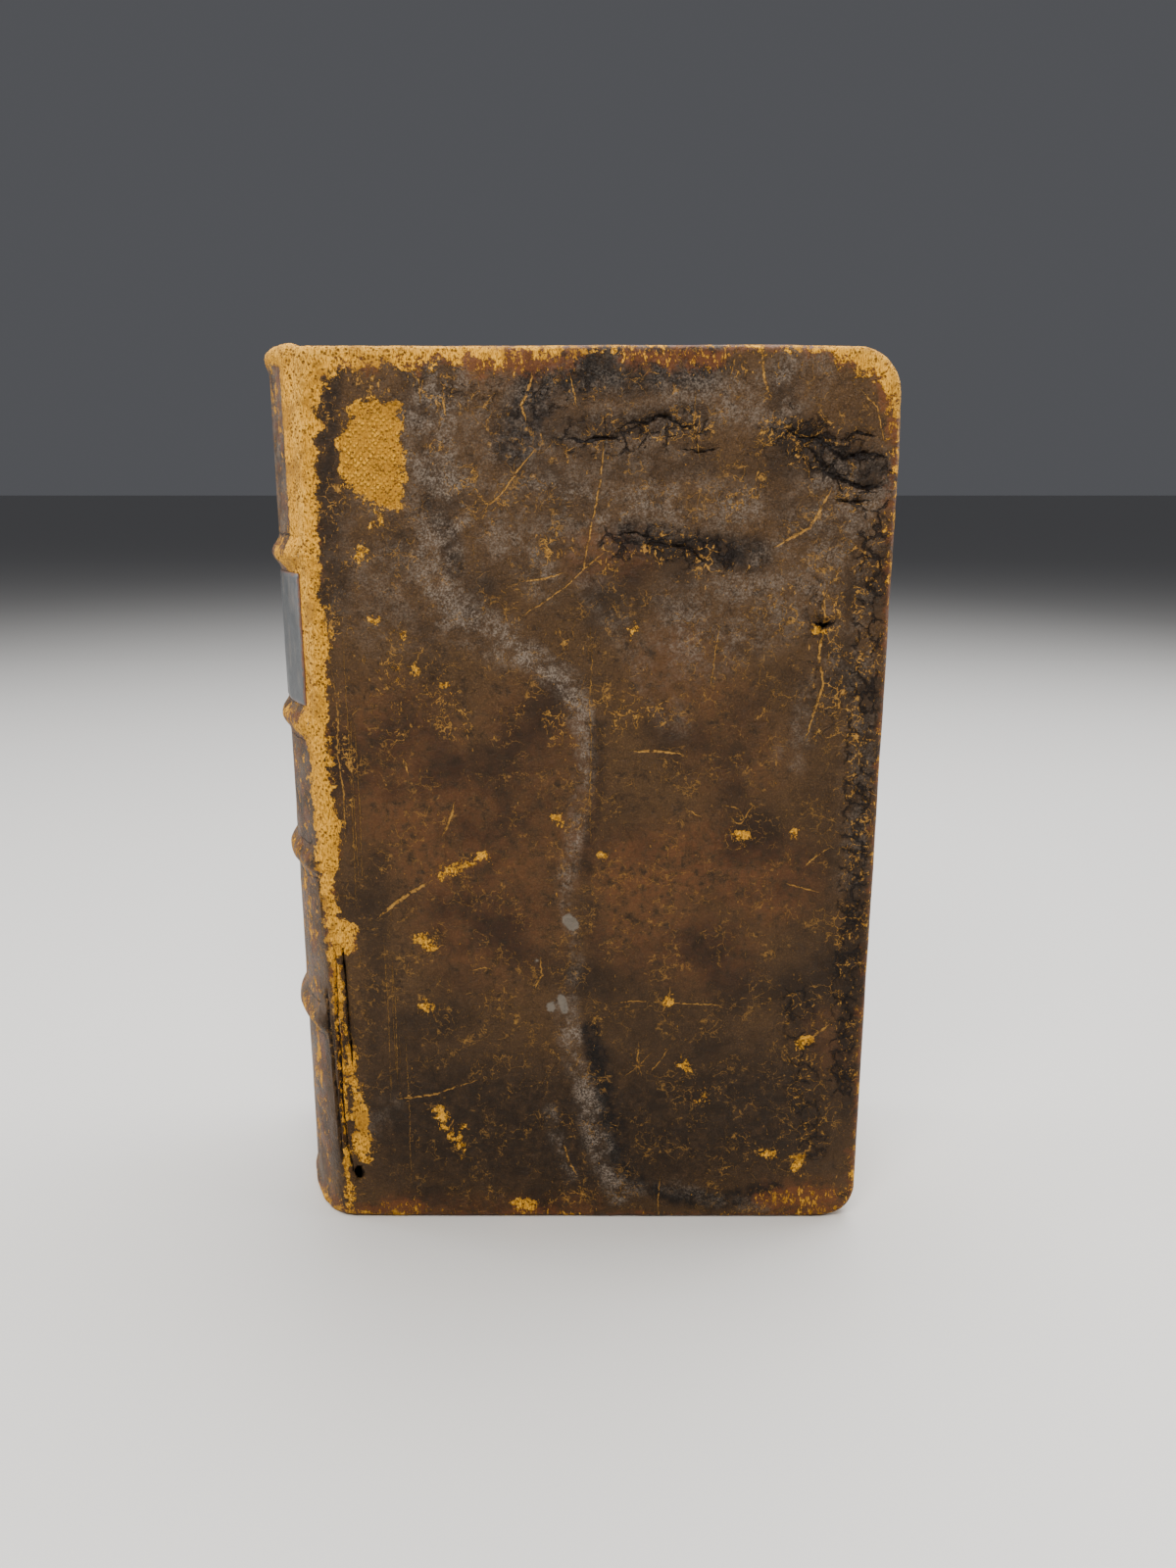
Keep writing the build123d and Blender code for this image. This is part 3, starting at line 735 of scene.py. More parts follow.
def fold(s, z):
    """Where the flat blank's places lie on the folded hide's outer face, and how far past the edge."""
    u, side = np.abs(s) - SPINE_ARC, np.where(s < 0, -1.0, 1.0)
    distance, nu, nz = past_edge(u, z)
    over = np.maximum(distance, 0)
    edge_radius, turn_radius = size("edge_roll"), size("turn_roll")
    quarter, turn = edge_radius * pi / 2, turn_radius * pi / 2
    run = fold_depth(u - nu * distance) - edge_radius - turn_radius
    a = np.clip(over, 0, quarter) / edge_radius
    b = np.clip(over - quarter, 0, run)
    c = np.clip(over - quarter - run, 0, turn) / turn_radius
    flat_in = np.maximum(over - quarter - run - turn, 0)
    out = edge_radius * np.sin(a) - turn_radius * (1 - np.cos(c)) - flat_in - over
    inward = edge_radius * (1 - np.cos(a)) + b + turn_radius * np.sin(c)
    across, up = u + nu * out, z + nz * out
    x, y = plan(across)
    nx, ny = plan_normal(across)
    return np.stack([x - nx * inward, side * (y - ny * inward), up], 1), over


def spaced(*stops):
    """Places along a line, from stops of (place, gap from here on)."""
    places = []
    for (start, gap), (end, _) in zip(stops, stops[1:]):
        count = max(1, round(abs(end - start) / gap))
        places += [start + (end - start) * k / count for k in range(count)]
    return [*places, stops[-1][0]]


def blank(columns, rows):
    """A flat sheet with its columns and rows of points at these places."""
    sheet = bmesh.new()
    bmesh.ops.create_grid(sheet, x_segments=len(columns) - 1, y_segments=len(rows) - 1, size=0.5)
    for vert in sheet.verts:
        column = round((vert.co.x + 0.5) * (len(columns) - 1))
        row = round((vert.co.y + 0.5) * (len(rows) - 1))
        vert.co = (columns[column], rows[row], 0)
    return sheet


# Gaps between points where the hide rolls over an edge, in the joint and on the turn-ins, in millimetres.
ROLL_GAP, JOINT_GAP, TURN_IN_GAP = 0.55, 0.4, 2.4
ROLL_END = 1.4  # past the board's thickness, where the turn-in lies flat
JOINT_FROM, JOINT_TO = -3.6, 4.0
END = 1  # closes a list of stops, whose last gap is never used


def blank_rows(gap):
    """Heights of a hide's rows: close on the face, wide apart on the turn-ins."""
    roll = size("edge_roll")
    rim, margin = COVER_DEPTH + ROLL_END, COVER_DEPTH + size("turn_in")
    low = [(-margin, TURN_IN_GAP), (-rim, ROLL_GAP), (roll, gap)]
    return spaced(*low, (HEIGHT - roll, ROLL_GAP), (HEIGHT + rim, TURN_IN_GAP), (HEIGHT + margin, END))


def cut_mitres(sheet, side):
    """Cuts off the blank's corners at the fore-edge, so that the turn-ins meet there."""
    spare = 1.6  # hide kept at the corner beyond the board's thickness
    for height, up in ((HEIGHT, 1), (0, -1)):
        out = Vector((side, up, 0)).normalized()
        corner = Vector((side * (SPINE_ARC + FACE_LENGTH), height, 0)) + out * (COVER_DEPTH + spare)
        parts = sheet.verts[:] + sheet.edges[:] + sheet.faces[:]
        bmesh.ops.bisect_plane(sheet, geom=parts, dist=1e-5, plane_co=corner, plane_no=out, clear_outer=True)


def trim_joint(sheet):
    """Cuts the margins short on the spine and in the joint, where the leaves leave no room for a turn-in."""
    widens_from, slope, ease = 2.0, 2.2, 0.6
    spare = []
    for face in sheet.faces:
        centre = face.calc_center_median()
        u = abs(centre.x) - SPINE_ARC
        over = max(centre.y - HEIGHT, -centre.y) + size("edge_roll")
        if over > size("cap_depth") + ease + max(0, slope * (u - widens_from)):
            spare.append(face)
    bmesh.ops.delete(sheet, geom=spare, context="FACES")


def thicken(sheet, thickness):
    """Gives the sheet a second side. Returns each point, its number before, and whether its side is new."""
    number = sheet.verts.layers.int.new("number")
    places = [vert.co.copy() for vert in sheet.verts]
    for index, vert in enumerate(sheet.verts):
        vert[number] = index
    bmesh.ops.solidify(sheet, geom=sheet.faces[:], thickness=thickness)
    indices = [vert[number] for vert in sheet.verts]
    sheet.verts.layers.int.remove(number)
    pairs = zip(sheet.verts, indices)
    return [(vert, index, (vert.co - places[index]).length > thickness / 2) for vert, index in pairs]


def clamp_inner(place, side, over):
    """Keeps the hide's inner side off the board, where it is pasted down."""
    joint_ease, turned_ease = 0.6, 0.1
    if place.x < board_low.x - joint_ease:
        return place
    edge_roll = size("edge_roll")
    turned_in = over > edge_roll * pi / 2 + COVER_DEPTH - edge_roll - size("turn_roll") + turned_ease
    y = side * (board_high.y if turned_in else min(max(side * place.y, -FACE_Y + LEATHER), board_high.y))
    return Vector((min(place.x, board_high.x), y, min(max(place.z, board_low.z), board_high.z)))


def hide_piece(name, columns, gap, side, cover_marks, cover_relief):
    """One piece of the hide: cut flat, folded and thickened, with its relief and its marks of wear."""
    sheet = blank(columns, blank_rows(gap))
    if side:
        cut_mitres(sheet, side)
    trim_joint(sheet)
    flat = np.array([v.co for v in sheet.verts], float)
    s, z = flat[:, 0], flat[:, 1]
    u = np.abs(s) - SPINE_ARC
    marks = joined_marks(s, z, cover_marks)
    relief = spine_relief(s, z)
    if cover_relief:
        relief = relief + cover_share(u) * cover_relief(u, z, marks)
    places, over = fold(s, z)
    for vert, place in zip(sheet.verts, places):
        vert.co = place
    sheet.normal_update()
    normals = [v.normal.copy() for v in sheet.verts]
    relief = relief * (1 - step(over, 2.5, 5.0))  # none where the hide is turned in
    layers = {mark: sheet.verts.layers.float.new(mark) for mark in MARK_NAMES}
    for vert, index, inner in thicken(sheet, LEATHER):
        normal = normals[index]
        if inner:
            vert.co = Vector(places[index]) - normal * LEATHER
            vert.co = clamp_inner(vert.co, side, over[index]) if side else vert.co
        else:
            vert.co += normal * float(relief[index])
        vert.co.z = max(vert.co.z, 0)
        for mark, layer in layers.items():
            vert[layer] = float(marks[mark][index])
    if side:
        board_face = -side * (FACE_Y - LEATHER)
        pasted = [face for face in sheet.faces if all(abs(v.co.y - board_face) < 1e-4 for v in face.verts)]
        bmesh.ops.dissolve_faces(sheet, faces=pasted, use_verts=True)
    return finish_mesh(sheet, name)


def finish_mesh(sheet, name, sharp=60):
    """A mesh object from a bmesh in millimetres, smooth but for its sharp edges."""
    bmesh.ops.scale(sheet, vec=(MM, MM, MM), verts=sheet.verts)
    mesh = bpy.data.meshes.new(name)
    sheet.to_mesh(mesh)
    sheet.free()
    mesh.shade_smooth()
    mesh.set_sharp_from_angle(angle=radians(sharp))
    piece = bpy.data.objects.new(name, mesh)
    bpy.context.scene.collection.objects.link(piece)
    return piece


def finish_piece(piece, material, nodes, body=None):
    """Gives a piece its material and slot, and puts it in the place of CAD nodes, riding on a body."""
    piece.data.materials.append(material)
    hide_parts(*nodes)
    if body:
        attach(piece, body)
    return piece


def bend_at_joint(piece):
    """Bakes the piece's place into its mesh."""
    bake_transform(piece)


# ---- Shader building -----------------------------------------------------------------------------
HIDE_FINISH = "Worn brown leather"
# Tones that are not settings, in linear red, green and blue.
DRIED_BROWN = (0.085, 0.042, 0.017, 1)
GLINT_BROWN = (0.125, 0.066, 0.025, 1)
OPENED_TAN = (0.66, 0.36, 0.07, 1)
TORN_BLACK = (0.007, 0.004, 0.003, 1)
GREY_SPOT = (0.15, 0.13, 0.105, 1)
BROWNED_PAPER = (0.40, 0.26, 0.12, 1)
FOXED_PAPER = (0.27, 0.13, 0.05, 1)
PALE_FIBRE = (0.9, 0.8, 0.6, 1)
LEAF_GAP_SHADE = (0.17, 0.105, 0.05, 1)
LEAF_GRIME = (0.22, 0.15, 0.085, 1)
BOARD_FLECK = (0.16, 0.115, 0.07, 1)
HEMP_SHADOW = (0.15, 0.10, 0.05, 1)
FRAYED_HEMP = (0.55, 0.44, 0.28, 1)
THREAD_GAP_SHADE = (0.05, 0.03, 0.015, 1)
THREAD_GRIME = (0.20, 0.14, 0.08, 1)


class Shades:
    """Adds shader nodes to one tree."""

    def __init__(self, tree):
        self.tree = tree

    def add(self, kind, values=(), **settings):
        """A node, with its settings, and values or links for its inputs."""
        made = self.tree.nodes.new(kind)
        for key, value in settings.items():
            setattr(made, key, value)
        for key, value in dict(values).items():
            if isinstance(value, bpy.types.NodeSocket):
                self.tree.links.new(value, made.inputs[key])
            else:
                made.inputs[key].default_value = value
        return made

    def maths(self, operation, a, b=0.0, c=0.0):
        """One sum."""
        return self.add("ShaderNodeMath", {0: a, 1: b, 2: c}, operation=operation).outputs[0]

    def times(self, first, second):
        """The product of two values."""
        return self.maths("MULTIPLY", first, second)

    def largest(self, first, *others):
        """The largest of several values."""
        for other in others:
            first = self.maths("MAXIMUM", first, other)
        return first

    def between(self, value, low, high, to_low=0.0, to_high=1.0):
        """A smooth step between two values."""
        inputs = {"Value": value, "From Min": low, "From Max": high, "To Min": to_low, "To Max": to_high}
        return self.add("ShaderNodeMapRange", inputs, interpolation_type="SMOOTHSTEP").outputs[0]

    def blend(self, amount, a, b, how="MIX"):
        """Two colours mixed."""
        return self.add("ShaderNodeMix", {0: amount, 6: a, 7: b}, data_type="RGBA", blend_type=how).outputs[2]

    def place(self, stretch=(1, 1, 1), turn=(0, 0, 0)):
        """Object coordinates in millimetres, stretched and turned."""
        where = self.add("ShaderNodeTexCoord").outputs["Object"]
        scale = [factor / MM for factor in stretch]
        return self.add("ShaderNodeMapping", {"Vector": where, "Scale": scale, "Rotation": turn}).outputs[0]

    def warped(self, where, patch, reach):
        """Places pushed about by up to this many millimetres, so that straight shapes turn ragged."""
        noise = self.add("ShaderNodeTexNoise", {"Vector": where, "Scale": 1 / patch, "Detail": 4.0})
        inputs = {0: noise.outputs["Color"], 1: (2 * reach,) * 3, 2: where}
        return self.add("ShaderNodeVectorMath", inputs, operation="MULTIPLY_ADD").outputs[0]

    def noise(self, where, patch, detail=3, roughness=0.55, distortion=0):
        """Cloudy noise, in patches about this many millimetres across."""
        inputs = {"Vector": where, "Scale": 1 / patch, "Detail": detail,
                  "Roughness": roughness, "Distortion": distortion}
        return self.add("ShaderNodeTexNoise", inputs).outputs[0]

    def cells(self, where, gap, feature="F1", randomness=1.0):
        """Distance to scattered points about this many millimetres apart."""
        inputs = {"Vector": where, "Scale": 1 / gap, "Randomness": randomness}
        return self.add("ShaderNodeTexVoronoi", inputs, feature=feature).outputs["Distance"]

    def mark(self, name):
        """One of the marks kept on the mesh."""
        return self.add("ShaderNodeAttribute", attribute_name=name).outputs["Fac"]

    def group(self, tree, **values):
        """A shared group, with its inputs set."""
        made = self.add("ShaderNodeGroup", node_tree=tree)
        for key, value in values.items():
            socket = made.inputs[key.replace("_", " ")]
            if isinstance(value, bpy.types.NodeSocket):
                self.tree.links.new(value, socket)
            else:
                socket.default_value = value
        return made.outputs

    def bump(self, height, distance_mm, strength=1.0, under=None):
        """A bump of this height in millimetres."""
        inputs = {"Height": height, "Distance": distance_mm * MM, "Strength": strength}
        if under:
            inputs["Normal"] = under
        return self.add("ShaderNodeBump", inputs).outputs[0]

    def surface(self, **values):
        """The Principled shader, joined to the material's output."""
        inputs = {key.replace("_", " "): value for key, value in values.items()}
        shader = self.add("ShaderNodeBsdfPrincipled", inputs)
        output = self.add("ShaderNodeOutputMaterial")
        self.tree.links.new(shader.outputs[0], output.inputs["Surface"])


def new_group(name, inputs, outputs):
    """An empty shader group with named sockets, and its input values."""
    tree = bpy.data.node_groups.new(name, "ShaderNodeTree")
    kinds = {float: "NodeSocketFloat", tuple: "NodeSocketColor"}
    for key, default in inputs.items():
        socket = tree.interface.new_socket(name=key, in_out="INPUT", socket_type=kinds[type(default)])
        socket.default_value = default
    for key, kind in outputs.items():
        tree.interface.new_socket(name=key, in_out="OUTPUT", socket_type=kinds[kind])
    shades = Shades(tree)
    return tree, shades, shades.add("NodeGroupInput").outputs, shades.add("NodeGroupOutput").inputs


def shared(name, build):
    """A shared group, built the first time it is asked for."""
    return bpy.data.node_groups.get(name) or build(name)


def ragged_mask(name):
    """Turns a distance inside a mark into a mask whose edge is ragged."""
    inputs = {"Inside": 0.0, "Ragged": 1.0, "Patch": 2.0, "Softness": 0.25}
    tree, do, given, out = new_group(name, inputs, {"Mask": float})
    scale = do.maths("DIVIDE", 1.0, given["Patch"])
    noise = {"Vector": do.place(), "Scale": scale, "Detail": 6.0, "Roughness": 0.74}
    broad = do.maths("SUBTRACT", do.add("ShaderNodeTexNoise", noise).outputs[0], 0.5)
    moved = do.maths("MULTIPLY_ADD", broad, do.times(given["Ragged"], 8.0), given["Inside"])
    soft = do.times(given["Softness"], -1.0)
    tree.links.new(do.between(moved, soft, given["Softness"]), out["Mask"])
    return tree


def leather_grain(name):
    """Fine grain of a glazed hide: pebbles, pores and creases."""
    tree, do, given, out = new_group(name, {"Grain size": 0.9}, {"Height": float, "Pores": float})
    where = do.place()
    scale = do.maths("DIVIDE", 1.0, given["Grain size"])
    pebbles = do.add("ShaderNodeTexVoronoi", {"Vector": where, "Scale": scale}, feature="SMOOTH_F1")
    fine = do.noise(where, 0.5, 4, 0.6)
    crease = do.maths("ABSOLUTE", do.maths("SUBTRACT", do.noise(where, 4.0, 5, 0.62, 0.4), 0.5))
    height = do.maths("MULTIPLY_ADD", do.between(crease, 0.0, 0.035), 0.35, do.times(fine, 0.6))
    height = do.maths("MULTIPLY_ADD", pebbles.outputs["Distance"], -0.5, height)
    tree.links.new(height, out["Height"])
    tree.links.new(do.between(do.noise(where, 0.45, 2, 0.5), 0.30, 0.24), out["Pores"])
    return tree


def bare_suede(name):
    """Colour and nap of the hide where its face is gone."""
    inputs = {"Suede": (0.5, 0.3, 0.1, 1), "Dark": (0.1, 0.05, 0.02, 1), "Pale": (0.8, 0.6, 0.3, 1),
              "Weave": 0.0, "Sharp": 0.0}
    tree, do, given, out = new_group(name, inputs, {"Colour": tuple, "Height": float})
    where = do.place()
    fibre = do.noise(do.place((1.6, 1.6, 0.55)), 0.5, 5, 0.7)
    clump = do.noise(where, 2.4, 3, 0.6)
    pores = do.between(do.cells(where, 0.85), 0.46, 0.18)
    pores = do.times(pores, do.between(clump, 0.40, 0.54))
    slant = do.place((1, 1, 1), (0, radians(45), 0))
    rows = do.cells(slant, 0.95, "F1", 0.4)
    weave = do.times(do.between(rows, 0.34, 0.62), given["Weave"])
    dark = do.largest(do.times(pores, 0.9), do.times(weave, 0.5))
    grime = do.between(do.noise(where, 7.0, 6, 0.7), 0.52, 0.40, 0.0, 0.55)
    dark = do.largest(dark, do.between(fibre, 0.52, 0.40, 0.0, 0.8), grime)
    colour = do.blend(do.between(fibre, 0.5, 0.66, 0.0, 0.4), given["Suede"], given["Pale"])
    colour = do.blend(given["Sharp"], colour, given["Pale"])
    tree.links.new(do.blend(dark, colour, given["Dark"]), out["Colour"])
    height = do.maths("MULTIPLY_ADD", do.largest(pores, weave), -0.9, fibre)
    tree.links.new(do.maths("MULTIPLY_ADD", clump, 0.5, height), out["Height"])
    return tree


def speckle(name):
    """Small specks, as many as the amount asks for, drawn out into short strokes."""
    tree, do, given, out = new_group(name, {"Amount": 0.5, "Patch": 1.0}, {"Mask": float})
    scale = do.maths("DIVIDE", 1.0, given["Patch"])
    best = None
    for stretch, turn in (((1, 1, 0.4), 0), ((1, 1, 0.35), 50), ((1, 1, 0.5), -40)):
        where = do.place(stretch, (0, radians(turn), 0))
        noise = {"Vector": where, "Scale": scale, "Detail": 6.0, "Roughness": 0.72}
        grain = do.add("ShaderNodeTexNoise", noise).outputs[0]
        best = do.largest(best, grain) if best else grain
    needed = do.maths("MULTIPLY_ADD", given["Amount"], -0.10, 0.70)
    tree.links.new(do.between(do.maths("SUBTRACT", best, needed), 0.0, 0.016), out["Mask"])
    return tree


def paper_age(name):
    """Fibres, browning and foxing of old paper."""
    inputs = {"Paper": (0.7, 0.6, 0.4, 1), "Foxing": 0.4}
    tree, do, given, out = new_group(name, inputs, {"Colour": tuple, "Height": float})
    where = do.place()
    tone = do.noise(where, 30.0, 4, 0.6)
    spots_here = do.between(do.noise(where, 5.0, 5, 0.7), 0.66, 0.76)
    fibre = do.noise(do.place((1, 1, 3)), 0.8, 3, 0.6)
    brown = do.blend(do.between(tone, 0.35, 0.7, 0.15, 0.6), given["Paper"], BROWNED_PAPER)
    brown = do.blend(do.times(spots_here, given["Foxing"]), brown, FOXED_PAPER)
    tree.links.new(do.blend(do.between(fibre, 0.3, 0.7, 0.0, 0.12), brown, PALE_FIBRE), out["Colour"])
    tree.links.new(fibre, out["Height"])
    return tree


def new_material(name):
    """An empty material, and the maker of its nodes."""
    material = bpy.data.materials.new(name)
    material.use_nodes = True
    material.node_tree.nodes.clear()
    return material, Shades(material.node_tree)


def worn_places(do):
    """Masks of the bare and the rubbed places, and the suede that shows at the bare ones."""
    ragged, specks = shared("Ragged edge", ragged_mask), shared("Specks", speckle)
    frayed, uneven = 2.3 * wear("raggedness"), 3.0 * wear("raggedness")
    bare = do.group(ragged, Inside=do.mark("bare"), Ragged=frayed, Patch=2.6, Softness=0.2)["Mask"]
    rubbed = do.group(ragged, Inside=do.mark("rubbed"), Ragged=uneven, Patch=5.0, Softness=1.2)["Mask"]
    scuffed = do.between(do.maths("MAXIMUM", do.mark("rubbed"), do.mark("bare")), -4.0, 3.0, 0.0, 1.4)
    scuffed = do.group(specks, Amount=scuffed, Patch=1.1)["Mask"]
    bare = do.largest(bare, do.times(scuffed, 0.85))
    suede = do.group(shared("Bare suede", bare_suede), Suede=shade("suede"), Dark=shade("suede_dark"),
                     Pale=shade("suede_pale"), Weave=do.mark("weave"),
                     Sharp=do.between(do.mark("rubbed"), 1.6, 4.2, 0.0, 0.18))
    return bare, rubbed, suede


def glazed_colour(do, where, mottle, pores):
    """The hide's colour under its grime, painted shade and dust, and where the dust and its painted light
    lie.
    """
    cloudy = do.noise(where, 26.0, 5, 0.6)
    warm = do.times(do.mark("warmth"), do.between(mottle, 0.36, 0.62))
    # Darkened by grime, pores and painted shade, from the shade mark.
    dark = do.largest(do.between(cloudy, 0.58, 0.34, 0.0, 0.7),
                      do.times(do.mark("shade"), do.between(mottle, 0.66, 0.42, 0.6, 1.15)))
    dark = do.largest(dark, do.between(mottle, 0.50, 0.34, 0.0, 0.6), do.times(pores, 0.7))
    colour = do.blend(do.times(warm, 0.55), shade("leather"), shade("leather_red"))
    colour = do.blend(do.between(mottle, 0.55, 0.72, 0.0, 0.3), colour, DRIED_BROWN)
    colour = do.blend(dark, colour, shade("leather_dark"))
    glint = do.between(do.noise(where, 0.38, 3, 0.6), 0.50, 0.64, 0.0, 0.5)
    glint = do.times(glint, do.between(dark, 0.8, 0.0, 0.15, 1.0))
    colour = do.blend(glint, colour, GLINT_BROWN)
    grains = do.between(do.noise(where, 0.42, 4, 0.7), 0.44, 0.60)
    grains = do.maths("ADD", grains, do.between(mottle, 0.4, 0.7, 0.05, 0.35))
    # Grey bloom of dust, which at the front cover's upper right is painted light.
    drift = do.between(do.noise(where, 6.0, 8, 0.74), 0.44, 0.57, 0.15, 1.5)
    dust_and_light = do.times(do.times(do.times(do.mark("haze"), wear("dust")), drift), grains)
    return do.blend(dust_and_light, colour, shade("dust")), dust_and_light


def fine_cracks(do, where):
    """The glaze's fine veins and splits, which come and go."""
    about = do.warped(where, 2.4, 2.2)
    vein = do.maths("ABSOLUTE", do.maths("SUBTRACT", do.noise(about, 7.0, 3, 0.5, 0.8), 0.5))
    split = do.cells(about, 3.6, "DISTANCE_TO_EDGE")
    shown = do.between(do.noise(where, 8.0, 6, 0.74), 0.49, 0.56)
    shown = do.times(shown, do.between(do.noise(where, 1.6, 4, 0.7), 0.40, 0.50))
    cracks = do.largest(do.between(vein, 0.011, 0.003), do.times(do.between(split, 0.036, 0.012), 0.9))
    amount = do.maths("ADD", do.mark("crackle"), do.times(do.mark("flecks"), 1.7))
    return do.maths("MINIMUM", do.times(do.times(cracks, shown), amount), 1.0)


def wandering_lines(do, kind, noise, reach, low, high):
    """A mask of the marks' lines of one kind, which wander about their places."""
    wander = do.maths("SUBTRACT", noise, 0.5)
    away = do.maths("ABSOLUTE", do.maths("MULTIPLY_ADD", wander, reach, do.mark(kind + "_line")))
    return do.between(do.maths("SUBTRACT", do.mark(kind + "_width"), away), low, high)


def torn_places(do, where):
    """Tears, holes and the broad cracks of dried leather."""
    cracked = do.between(do.cells(do.warped(where, 1.7, 1.6), 4.4, "DISTANCE_TO_EDGE"), 0.085, 0.02)
    cracked = do.times(cracked, do.between(do.noise(where, 4.5, 5, 0.7), 0.55, 0.47))
    cracked = do.times(cracked, do.between(do.mark("crackle"), 0.15, 0.7))
    torn = wandering_lines(do, "dark", do.noise(where, 1.8, 6, 0.7), 2.4, -0.03, 0.14)
    return do.largest(torn, do.between(do.mark("hole"), 0.35, 0.75), do.times(cracked, 0.85))


def worn_leather():
    """The hide: glazed and grimy brown leather, scratched, cracked, and worn to suede at its edges."""
    material, do = new_material(HIDE_FINISH)
    where = do.place()
    pebbled = do.group(shared("Leather grain", leather_grain), Grain_size=0.95)
    mottle = do.noise(where, 2.2, 8, 0.74)
    bare, rubbed, suede = worn_places(do)
    colour, dust_and_light = glazed_colour(do, where, mottle, pebbled["Pores"])

    amount = do.times(do.mark("flecks"), wear("flecks"))
    specks = do.group(shared("Specks", speckle), Amount=amount, Patch=1.3)["Mask"]
    crackle = fine_cracks(do, where)
    broken = do.between(do.noise(where, 1.5, 4, 0.7), 0.40, 0.50)
    scratch = wandering_lines(do, "light", do.noise(where, 1.2, 4, 0.6), 1.1, -0.02, 0.12)
    scratch = do.largest(do.times(scratch, broken), specks, crackle)
    opened = do.blend(do.noise(where, 1.1, 3, 0.6), shade("leather_red"), OPENED_TAN)
    colour = do.blend(do.times(scratch, 0.78), colour, opened)
    colour = do.blend(do.times(rubbed, 0.62), colour, shade("leather_red"))
    colour = do.blend(bare, colour, suede["Colour"])
    torn = torn_places(do, where)
    # Painted shade: tears, holes and cracks are painted near black for the dark inside them.
    colour = do.blend(torn, colour, TORN_BLACK)
    ragged = shared("Ragged edge", ragged_mask)
    pale = do.group(ragged, Inside=do.mark("pale"), Ragged=0.25, Patch=1.0, Softness=0.2)["Mask"]
    colour = do.blend(do.times(pale, 0.8), colour, GREY_SPOT)

    dull = do.largest(bare, do.times(dust_and_light, 0.8), scratch)
    gloss = do.between(do.noise(where, 7.0, 4, 0.6), 0.3, 0.7, 0.36, 0.56)
    rough = do.maths("ADD", gloss, do.times(dull, 0.42))
    grain = do.times(pebbled["Height"], wear("grain"))
    height = do.maths("MULTIPLY_ADD", do.maths("MAXIMUM", scratch, do.times(crackle, 0.8)), -0.5, grain)
    height = do.maths("MULTIPLY_ADD", torn, -1.2, height)
    height = do.maths("MULTIPLY_ADD", mottle, 0.7, height)
    normal = do.bump(do.add("ShaderNodeMix", {0: bare, 2: height, 3: suede["Height"]}).outputs[0], 0.55)
    do.surface(Base_Color=colour, Roughness=rough, Normal=normal, Specular_IOR_Level=0.16)
    return material


def label_leather():
    """Thin dark blue-grey leather of the label, smooth and a little rubbed."""
    material, do = new_material("Label leather")
    where = do.place()
    ragged = shared("Ragged edge", ragged_mask)
    rub = do.group(ragged, Inside=do.mark("bare"), Ragged=0.5, Patch=1.6, Softness=0.3)["Mask"]
    streak = do.noise(do.place((1, 1, 0.25)), 2.4, 5, 0.62)
    grain = do.group(shared("Leather grain", leather_grain), Grain_size=0.6)
    colour = do.blend(do.between(streak, 0.5, 0.75, 0.0, 0.5), shade("label"), shade("dust"))
    colour = do.blend(do.times(rub, 0.7), colour, shade("leather_red"))
    height = do.maths("MULTIPLY_ADD", streak, 0.5, do.times(grain["Height"], 0.25))
    rough = do.between(do.noise(where, 6.0, 4, 0.6), 0.3, 0.7, 0.34, 0.5)
    do.surface(Base_Color=colour, Roughness=rough, Normal=do.bump(height, 0.15), Specular_IOR_Level=0.5)
    return material


def old_paper(name, paper, foxing):
    """Aged paper."""
    material, do = new_material(name)
    age = do.group(shared("Paper age", paper_age), Paper=paper, Foxing=foxing)
    normal = do.bump(age["Height"], 0.03)
    do.surface(Base_Color=age["Colour"], Roughness=0.88, Normal=normal, Specular_IOR_Level=0.25)
    return material


def leaf_edges():
    """The edges of some hundreds of leaves, each a thin line across the thickness of the book."""
    material, do = new_material("Leaf edges")
    age = do.group(shared("Paper age", paper_age), Paper=shade("leaf"), Foxing=wear("foxing"))
    leaf = do.noise(do.place((0.012, 1, 0.012)), 0.32, 4, 0.75)
    gathering = do.noise(do.place((0.006, 1, 0.006)), 2.4, 3, 0.6)
    # Painted shade in the gaps between leaves and between gatherings.
    gap = do.largest(do.between(leaf, 0.48, 0.36), do.times(do.between(gathering, 0.44, 0.34), 0.7))
    colour = do.blend(do.times(gap, 0.72), age["Colour"], LEAF_GAP_SHADE)
    grime = do.between(do.noise(do.place(), 16.0, 5, 0.65), 0.5, 0.72, 0.0, 0.4)
    colour = do.blend(grime, colour, LEAF_GRIME)
    height = do.maths("MULTIPLY_ADD", gathering, 1.5, leaf)
    do.surface(Base_Color=colour, Roughness=0.85, Normal=do.bump(height, 0.16), Specular_IOR_Level=0.25)
    return material


def pasteboard():
    """Grey-brown board made of pasted sheets."""
    material, do = new_material("Pasteboard")
    layer = do.noise(do.place((0.05, 1, 0.05)), 0.5, 3, 0.6)
    fleck = do.noise(do.place(), 1.2, 5, 0.75)
    colour = do.blend(do.between(fleck, 0.4, 0.7), shade("board"), BOARD_FLECK)
    normal = do.bump(do.maths("ADD", layer, fleck), 0.12)
    do.surface(Base_Color=colour, Roughness=0.92, Normal=normal, Specular_IOR_Level=0.2)
    return material


